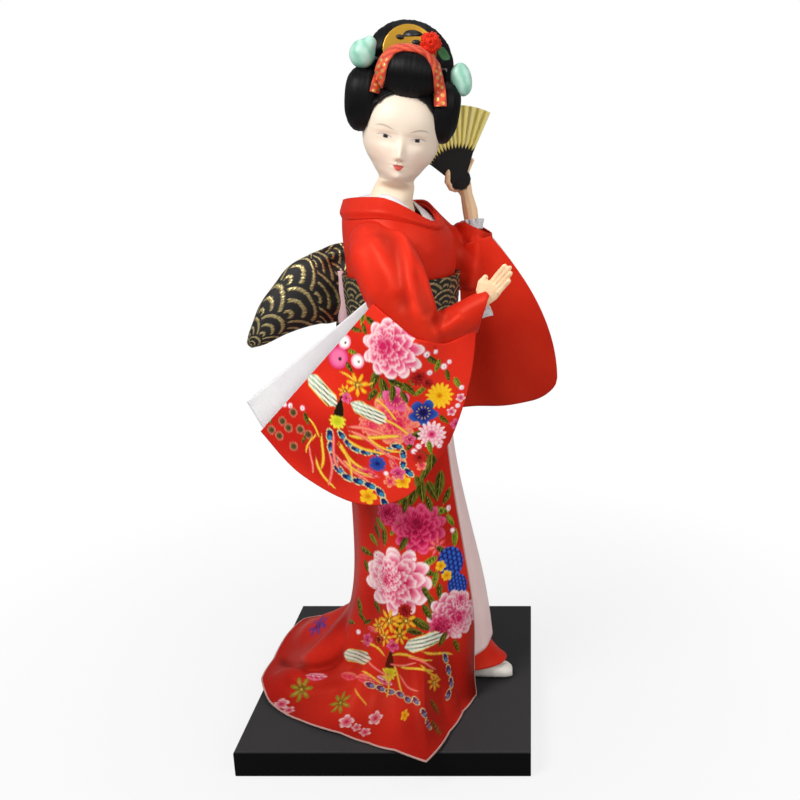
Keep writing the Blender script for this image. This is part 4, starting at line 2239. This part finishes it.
    @staticmethod
    def disc(radius: float, segments: int, low: float, way: tuple[float, float, float]) -> Shape:
        """A flat disc cut off at a height along a direction.

        Args:
            radius: Radius of the disc.
            segments: Sides of the disc.
            low: Height of the cut.
            way: Direction that is cut away.

        Returns:
            The shape.
        """
        shape = bmesh.new()
        bmesh.ops.create_circle(shape, cap_ends=True, segments=segments, radius=radius)
        cut_off(shape, (0, low, 0), way)
        return shape

    @staticmethod
    def fatten(shape: Shape, thick: float) -> None:
        """Give a flat shape its thickness.

        Args:
            shape: The shape.
            thick: Thickness in the shape's units.
        """
        face = bmesh.ops.extrude_face_region(shape, geom=shape.faces[:])
        moved = [part for part in face["geom"] if isinstance(part, bmesh.types.BMVert)]
        bmesh.ops.translate(shape, vec=(0, 0, thick), verts=moved)
        bmesh.ops.recalc_face_normals(shape, faces=shape.faces[:])

    def settle(
        self,
        shape: Shape,
        place: Matrix,
        name: str,
        finish: Material,
        nodes: Sequence[str] = (),
    ) -> None:
        """Put a head-frame shape in millimetres into the scene.

        Args:
            shape: The shape, which is used up.
            place: Its place in the head's frame.
            name: Piece name.
            finish: Its material.
            nodes: The solids that it stands for.
        """
        world = Matrix.Scale(0.001, 4) @ Matrix.Translation((0, 0, BASE_TOP)) @ HEAD_PLACE
        bmesh.ops.transform(shape, matrix=world @ place, verts=shape.verts[:])
        show(name, made_mesh(name, shape), Body.HEAD, [finish], nodes)

    def build_flower(self) -> None:
        """The red cloth flower with its leaf."""
        middle = np.array([6.8, -10.2, 65.2])

        def petals(u: Array, v: Array) -> Array:
            """Five crumpled petals: u round the flower, v out from its middle.

            Args:
                u: Shares round or across it.
                v: Shares along it.

            Returns:
                Places in doll millimetres.
            """
            turn = u * 2 * math.pi
            lobe = 0.74 + 0.2 * np.abs(np.cos(2.5 * turn)) ** 0.6 + 0.06 * np.sin(17 * turn)
            r = 4.2 * lobe * v
            crumple = (0.6 * np.cos(5 * turn) + 0.3 * np.sin(17 * turn)) * v * v
            bowl = 1.2 * v * v - 0.6 - 1.5 * np.sin(math.pi * np.clip(v, 0, 1)) - 0.5 * np.sin(9 * v)
            return from_head(middle + stack(r * np.cos(turn), crumple + bowl, r * np.sin(turn)))

        behind = from_head(middle + np.array([0, 6.0, 0]))
        mesh, _, _ = grid_mesh("hair_flower", petals, 120, 24, (30, 5), joined=True, inside=behind)
        obj = show("hair_flower_cloth", mesh, Body.HEAD, [self.finish.satin], ["hair_flower"])
        thicken(obj, 0.5)
        stem = middle + np.array([3.0, 1.9, -1.8])

        def leaf(u: Array, v: Array) -> Array:
            """The leaf, folded along its rib: u across it, v from its stem to its tip.

            Args:
                u: Shares round or across it.
                v: Shares along it.

            Returns:
                Places in doll millimetres.
            """
            wide = (u - 0.5) * 4.2 * np.sin(math.pi * mix(0.12, 0.96, v))
            back = 0.6 * v - 0.8 * np.abs(u - 0.5) + 0.1 * np.sin(v * 40) * np.abs(u - 0.5)
            return from_head(stack(stem[0] + 4.9 * v, stem[1] + back, stem[2] - 2.4 * v + wide))

        behind = from_head(np.array([9.0, 6.0, 60.0]))
        mesh, _, _ = grid_mesh("hair_flower_leaf", leaf, 24, 30, (4.4, 6.6), inside=behind)
        obj = show("hair_leaf_cloth", mesh, Body.HEAD, [self.finish.leaf], ["hair_flower_leaf"])
        thicken(obj, 0.6)

    def build_beads(self) -> None:
        """The mint ornaments on the hairpins."""
        # how far each is rounded to a plain drop, and by how much it is grown first
        beads = (("right", Body.PIN_RIGHT, 0.3, 0.2), ("left", Body.PIN_LEFT, 0.85, -0.6))
        for word, body, share, grow in beads:
            name = f"hairpin_bead_{word}"
            mesh = softened(name, [node_mesh(name)], 0.5, 110)
            points = to_doll(coordinates(mesh))
            points += vertex_normals(mesh) * (grow + creases(points, 7.0, 0.3, 8))[:, None]
            middle, half = (points.max(0) + points.min(0)) / 2, (points.max(0) - points.min(0)) / 2
            drop = middle + (points - middle) / np.linalg.norm((points - middle) / half, axis=1)[:, None]
            place_vertices(mesh, to_world(mix(points, drop, share)))
            show(f"{name}_moulded", mesh, body, [self.finish.jade], [name])


def turn_map(mesh: Mesh) -> None:
    """Turn a thread map so that its first axis runs across the strands.

    Args:
        mesh: The mesh.
    """
    layer = mesh.uv_layers["Thread"]
    flat = np.empty(len(layer.data) * 2, np.float32)
    layer.data.foreach_get("uv", flat)
    layer.data.foreach_set("uv", flat.reshape(-1, 2)[:, ::-1].ravel())


@dataclass
class Fan:
    """The open fan: pleated leaf, sticks and rivet."""

    finish: Palette
    pivot: tuple[float, float, float] = (30.5, 24.0, 222.9)
    radius: float = 31.5
    frame: float = 14.4
    pleats: int = 15

    def build(self) -> None:
        """Make the pleated leaf; the sticks and the rivet keep their solids."""
        left, right = math.radians(-60), math.radians(25)

        x, y, z = self.pivot

        def pleat(u: Array) -> Array:
            """1 on the outer folds and 0 on the inner ones."""
            return np.abs(((u * self.pleats) % 1) - 0.5) * 2

        def place(u: Array, v: Array) -> Array:
            """The leaf: u from its left to its right stick, v outwards.

            Args:
                u: Shares round or across it.
                v: Shares along it.

            Returns:
                Places in doll millimetres.
            """
            angle, reach = mix(left, right, u), mix(self.frame - 1.2, self.radius, v)
            depth = (pleat(u) - 0.5) * 1.5 * mix(0.45, 1, v)
            return stack(x + reach * np.sin(angle), y + depth, z + reach * np.cos(angle))

        behind = np.array([x, 60.0, z])
        mesh, u, v = grid_mesh("fan_leaf", place, self.pleats * 8, 30, (45, 17), inside=behind)
        fold = pleat(u)
        ink = blend(dye("#F0DC70"), dye("#FFF3AC"), fold)
        ink = blend(ink, dye("#F2E9B0"), 0.6 * smooth(np.sin(u * 31 + 1), 0.9, 1.0))
        ink = blend(ink, dye("#0C0A0A"), smooth(0.06 + 0.14 * fold - v, 0.0, 0.02))
        paint(mesh, "print", ink)
        obj = show("fan_leaf_paper", mesh, Body.ARM_LEFT, [self.finish.paper], ["fan_leaf"])
        thicken(obj, 0.4)


@dataclass
class Legs:
    """The feet in their split-toed socks."""

    finish: Palette
    rows: tuple[tuple[float, float, float], ...] = (
        (0, 2.4, 5), (0.07, 3.8, 9), (0.19, 4.3, 13.2), (0.31, 4.4, 13), (0.46, 4.6, 10), (0.64, 5, 7.6),
        (0.81, 5, 6.2), (0.94, 4.3, 5), (1, 2.6, 3.6))
    long: float = 33.8

    def build(self) -> None:
        """Make both feet."""
        self.build_foot("right", 18.5, -4.6)
        self.build_foot("left", 6.5, 8.5)

    def build_foot(self, side: str, heel: float, track: float) -> None:
        """One foot, from its heel's place and the line that it stands on.

        Args:
            side: The foot's side, right or left.
            heel: Place of the heel along x.
            track: Place of the foot along y.
        """
        knots, sizes = [r[0] for r in self.rows], [r[1:] for r in self.rows]

        def place(u: Array, v: Array) -> Array:
            """The sock: u round the foot, v from heel to toe.

            Args:
                u: Shares round or across it.
                v: Shares along it.

            Returns:
                Places in doll millimetres.
            """
            wide, high = np.moveaxis(spline(knots, sizes, v), -1, 0)
            c, s = np.cos(u * 2 * math.pi), np.sin(u * 2 * math.pi)
            y = wide * np.sign(c) * np.abs(c) ** 0.8
            split = 0.75 * bell(y, 1.5, 0.42) * smooth(v, 0.8, 0.97) * (s > -0.4)
            z = GAP + high / 2 * (1 + np.sign(s) * np.abs(s) ** 0.8) * (1 - 0.45 * split)
            return stack(heel + v * self.long - 1.6 * split * smooth(v, 0.9, 1.0), track + y, z)

        mesh, _, _ = grid_mesh(f"foot_{side}", place, 96, 110, (30, 34), joined=True, capped=True)
        show(f"foot_{side}_tabi", mesh, Body.DOLL, [self.finish.tabi], [f"foot_{side}"])


class Studio:
    """Floor, backdrop, lights and camera."""

    eye = Vector((0.061, -0.38625, 0.25757))
    pitch = math.radians(16.336)
    sensor = 36.0
    lens = 41.914
    shift = -0.16375
    pixels = 800
    focus = lens / sensor * pixels
    # the lamps' places, sizes and powers
    lamps = (
        ("key", (-0.34, -0.38, 0.64), 0.26, 4.05),
        ("fill", (0.62, -0.6, 0.62), 0.6, 3.9),
        ("top", (0.1, 0.15, 1.1), 0.5, 1.6),
    )
    aim = Vector((0.0, 0.0, 0.15))

    def build(self) -> None:
        """Set up the studio."""
        self.camera()
        self.floor()
        self.world()
        for name, at, size, power in self.lamps:
            self.lamp(name, Vector(at), size, power)
        bpy.context.scene.view_settings.view_transform = "Standard"

    @classmethod
    def picture(cls, points: Array) -> tuple[Array, Array]:
        """Where the camera sees places.

        Args:
            points: Places in doll millimetres.

        Returns:
            Pixels right and down in the picture, and depths in millimetres.
        """
        right, back, up = np.moveaxis((to_world(points) - np.array(cls.eye)) * 1000.0, -1, 0)
        depth = back * math.cos(cls.pitch) - up * math.sin(cls.pitch)
        down = -back * math.sin(cls.pitch) - up * math.cos(cls.pitch)
        middle = np.array([0.5 - cls.shift, 0.5]) * cls.pixels
        return middle + cls.focus * np.stack([right / depth, down / depth], -1), depth

    def camera(self) -> None:
        """The camera at the photograph's viewing angle."""
        data = bpy.data.cameras.new("camera")
        data.sensor_width, data.lens, data.shift_x = self.sensor, self.lens, self.shift
        data.clip_start = 0.01
        obj = bpy.data.objects.new("camera", data)
        obj.location = self.eye
        obj.rotation_euler = (math.pi / 2 - self.pitch, 0.0, 0.0)
        bpy.context.scene.collection.objects.link(obj)
        bpy.context.scene.camera = obj

    def lamp(self, name: str, at: Vector, size: float, power: float) -> None:
        """One soft square lamp aimed at the doll.

        Args:
            name: Name of the lamp.
            at: Its place.
            size: Length of its side in metres.
            power: Its power in watts.
        """
        data = bpy.data.lights.new(name, "AREA")
        data.size, data.energy = size, power
        obj = bpy.data.objects.new(name, data)
        obj.location = at
        obj.rotation_euler = (self.aim - at).to_track_quat("-Z", "Y").to_euler()
        bpy.context.scene.collection.objects.link(obj)

    def floor(self) -> None:
        """A wide pale floor that keeps the doll's shadow."""
        shape = bmesh.new()
        bmesh.ops.create_grid(shape, x_segments=1, y_segments=1, size=6.0)
        mesh = made_mesh("floor", shape)
        material = bpy.data.materials.new("pale_floor")
        material.use_nodes = True
        tree = material.node_tree
        tree.nodes.clear()
        path = add_node(tree, "ShaderNodeLightPath")
        where = add_node(tree, "ShaderNodeTexCoord").outputs["Object"]
        away = add_node(tree, "ShaderNodeVectorMath", {0: where}, operation="LENGTH")
        # the shadow is kept near the base and the floor turns plain white further out
        fade = add_node(tree, "ShaderNodeMapRange", {
            0: away.outputs["Value"], 1: 0.06, 2: 0.28, 3: 0.8, 4: 1.0})
        share = add_node(tree, "ShaderNodeMath", {
            0: path.outputs["Is Camera Ray"], 1: fade.outputs[0]}, operation="MULTIPLY")
        matt = add_node(tree, "ShaderNodeBsdfDiffuse", {"Color": (0.6, 0.6, 0.6, 1.0)})
        glow = add_node(tree, "ShaderNodeEmission", {"Color": (1.0, 1.0, 1.0, 1.0), "Strength": 1.0})
        both = add_node(tree, "ShaderNodeMixShader", {
            0: share.outputs[0], 1: matt.outputs[0], 2: glow.outputs[0]})
        add_node(tree, "ShaderNodeOutputMaterial", {"Surface": both.outputs[0]})
        mesh.materials.append(material)
        obj = bpy.data.objects.new("floor", mesh)
        bpy.context.scene.collection.objects.link(obj)

    def world(self) -> None:
        """An even pale surround, white where the camera sees it."""
        world = bpy.data.worlds.new("studio")
        bpy.context.scene.world = world
        world.use_nodes = True
        tree = world.node_tree
        tree.nodes.clear()
        path = add_node(tree, "ShaderNodeLightPath")
        level = add_node(tree, "ShaderNodeMapRange", {0: path.outputs["Is Camera Ray"], 3: 0.25, 4: 1.0})
        sky = add_node(tree, "ShaderNodeBackground", {
            "Color": (1.0, 1.0, 1.0, 1.0), "Strength": level.outputs[0]})
        add_node(tree, "ShaderNodeOutputWorld", {"Surface": sky.outputs[0]})


# the robe's printed figures, picked by eye from the picture, the bottom layer first
SKIRT_SKETCHES = sketched("""
leaf green: 414 497 12 110, 423 491 13 85, 434 492 13 60, 441 485 15 95
leaf bright: 443 511 10 10
leaf green: 438 517 9 40
leaf bright: 404 500 9 130
peony magenta: 389 514 14 0
leaf bright: 380 525 10 50, 395 529 10 130
leaf green: 384 537 10 90
leaf bright: 372 540 8 60
peony magenta: 420 530 28 0
star coral: 438 547 11 0
leaf bright: 430 562 10 150
leaf green: 444 551 9 30
leaf bright: 456 538 10 90
leaf green: 427 572 11 20
leaf bright: 436 580 9 100
cluster blue: 452 563 17 80, 459 585 13 80
leaf green: 366 552 9 40, 360 606 9 80
peony white: 396 582 37 0
peony pink: 387 579 15 0
leaf green: 433 604 11 70
leaf bright: 436 614 11 120
leaf green: 421 625 13 30, 427 594 9 60
peony rose: 454 615 27 0
peony magenta: 441 628 13 0
peony pink: 462 600 10 0
leaf green: 398 630 10 100
star gold: 389 621 13 20, 405 622 12 50, 384 637 10 0
leaf green: 362 617 7 60
leaf coral: 372 630 8 20
plume gold: 408 656 20 -5, 438 655 18 20, 372 648 18 30, 398 676 18 60
leaf coral: 350 676 12 10, 368 679 13 15
leaf rose: 384 680 10 30
wing feather: 356 656 19 12, 421 643 21 -18
bird lime: 389 664 17 95
eye teal 5.6: 370 684, 381 689, 394 692, 408 699
eye teal 5.6: 447 658, 450 668, 452 683, 449 694
eye teal 5.2: 416 700, 423 710, 430 724
leaf green: 437 706 9 60
star gold: 436 682 9 10
plum yellow: 404 715 6 0
star blue: 321 627 13 15
star bright: 301 689 13 0, 340 702 13 10
leaf rose: 318 676 13 5
plum white: 281 703 8 0
plum rose: 289 709 6 0
plum white: 346 721 8 0, 376 717 8 0
plum rose: 365 731 6 0
plume gold: 360 697 11 70
leaf green: 437 727 9 60
plum white: 356 726 5 0
leaf green: 406 506 9 100, 430 505 10 70, 448 496 10 110
leaf bright: 452 520 8 60
leaf green: 376 532 9 70, 402 545 9 120, 366 566 7 80, 440 592 9 90, 428 612 10 60, 414 632 10 10
leaf green: 444 640 9 120, 352 622 7 20, 366 622 6 150, 376 608 8 60, 458 646 8 70
plume coral: 378 668 16 50
plume gold: 372 676 14 20
plume coral: 402 664 16 10
plume gold: 412 670 18 25
plume coral: 424 662 16 10
plume gold: 386 684 14 80
plume coral: 408 684 16 50
plume gold: 432 672 14 50
peony wine: 404 612 8 0
plum yellow: 448 576 6 0, 442 566 6 0
plum wine: 378 640 8 0
plum hot: 366 640 7 0, 392 646 7 0
star gold: 398 636 10 20, 378 626 9 0
ball white: 450 508 3 0
ball rose: 454 530 3 0
ball white: 374 556 3 0
ball rose: 414 560 3 0
ball white: 358 632 3 0, 460 636 3 0
""")
SLEEVE_SKETCHES = sketched("""
leaf green: 371 322 9 40
leaf bright: 362 318 8 100
leaf green: 356 330 7 20, 364 330 7 70, 374 380 12 110, 384 390 13 75, 398 386 13 30
leaf bright: 380 400 10 110
leaf green: 410 390 10 45, 433 361 9 30
leaf bright: 438 366 8 110
ball white: 427 355 4 0, 444 367 4 0, 430 373 3.5 0
leaf bright: 458 384 8 60, 420 392 8 140
plum rose: 461 398 5 0, 452 412 5 0
peony pink: 391 349 33 0
leaf green: 331 361 6 60
ball hot: 338 358 12 0
ball white: 344 342 8 0, 357 361 8 0
peony coral: 391 421 28 80
plum hot: 395 400 15 20
peony coral: 372 425 14 80
leaf green: 416 436 11 160
daisy yellow: 440 396 14.5 0
plum blue: 424 413 15.5 10
daisy rose: 432 435 15 0
leaf coral: 366 473 15 20, 352 466 10 30, 394 466 10 60
plume gold: 320 452 20 100, 325 474 20 65, 352 456 20 45, 312 444 14 120, 372 440 18 15
eye teal 7: 330 436, 331 453, 337 468, 347 478, 359 482, 371 486, 380 493, 385 504
eye teal 6.2: 342 436, 350 447, 360 452, 371 453, 383 452, 397 447, 403 453, 403 467, 409 473
plume coral: 376 433 30 4
plume gold: 374 439 28 14
plume coral: 372 444 27 22
plume gold: 366 449 22 32
plume coral: 352 470 22 50, 338 452 22 75
daisy blue: 377 464 9.5 0
plum yellow: 368 497 9.5 0, 403 482 8.5 0
leaf green: 434 470 17 95, 424 455 8 30, 420 487 11 70, 430 490 11 110
plum coral: 421 466 6 0
ball white: 414 452 3.5 0
ball rose: 419 447 3.5 0
wing feather: 321 390 23 48, 369 413 22 27
plume gold: 350 381 15 210, 362 384 14 -25
star gold: 357 385 13 0, 345 392 8 30
bird lime: 339 413 19 99
ball olive: 282 421 5 0, 293 413 5 0, 271 430 5 0, 300 430 5 0, 294 447 5 0, 279 436 5 0, 288 428 5 0
ball olive: 308 435 5 0
ball white: 290 406 3 0
plume gold: 312 426 14 50
leaf green: 306 419 7 70
plume gold: 384 446 20 30
plume coral: 390 456 18 40
plume gold: 346 462 20 60, 358 470 16 40
plume coral: 330 470 20 80, 310 460 16 95
plume gold: 398 428 18 20, 386 410 16 35
leaf green: 405 398 8 60, 372 395 9 130, 392 394 10 95, 416 384 8 20, 448 376 7 80
leaf bright: 352 352 6 20
leaf green: 349 368 7 60, 444 420 7 40, 410 446 8 120
leaf bright: 430 448 8 80
leaf green: 304 440 5 110, 270 420 4 60
peony wine: 419 379 9 0, 428 384 6 0
plum hot: 410 440 7 0, 398 474 8 0
plum coral: 390 482 7 0
plum hot: 346 398 6 0, 456 424 6 0
daisy wine: 420 458 8 0
ball white: 462 388 3 0
ball rose: 458 406 3 0
ball white: 414 370 3 0, 436 352 3 0
ball rose: 450 362 3 0, 284 404 3 0
ball white: 302 408 3 0, 440 446 3 0, 386 474 3 0
""")


def dress_solids(finish: Palette) -> None:
    """Give the solids that stay their materials.

    Args:
        finish: The doll's finishes.
    """
    kept = {"base_plinth": finish.lacquer}
    kept |= dict.fromkeys(("fan_frame", "fan_rivet"), finish.ebony)
    wires = ("leg_wire_right", "leg_wire_left", "neck_peg", "hairpin_shaft_right", "hairpin_shaft_left")
    kept |= dict.fromkeys(wires, finish.steel)
    wadded = ("leg_right", "leg_left", "body_core", "arm_core_right", "arm_core_left")
    kept |= dict.fromkeys(wadded, finish.padding)
    for name, material in kept.items():
        mesh = node_mesh(name)
        mesh.materials.clear()
        mesh.materials.append(material)


def main() -> None:
    """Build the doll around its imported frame."""
    logging.basicConfig(level=logging.INFO, format="%(message)s")
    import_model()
    Studio().build()
    finish = Palette()
    dress_solids(finish)
    robe = Robe(finish, sketches=SKIRT_SKETCHES)
    robe.build()
    Sash(finish, robe).build()
    Arms(finish, sketches=SLEEVE_SKETCHES).build()
    Head(finish).build()
    Hair(finish).build()
    Fan(finish).build()
    Legs(finish).build()
    bpy.context.view_layer.update()


if __name__ == "__main__":
    main()
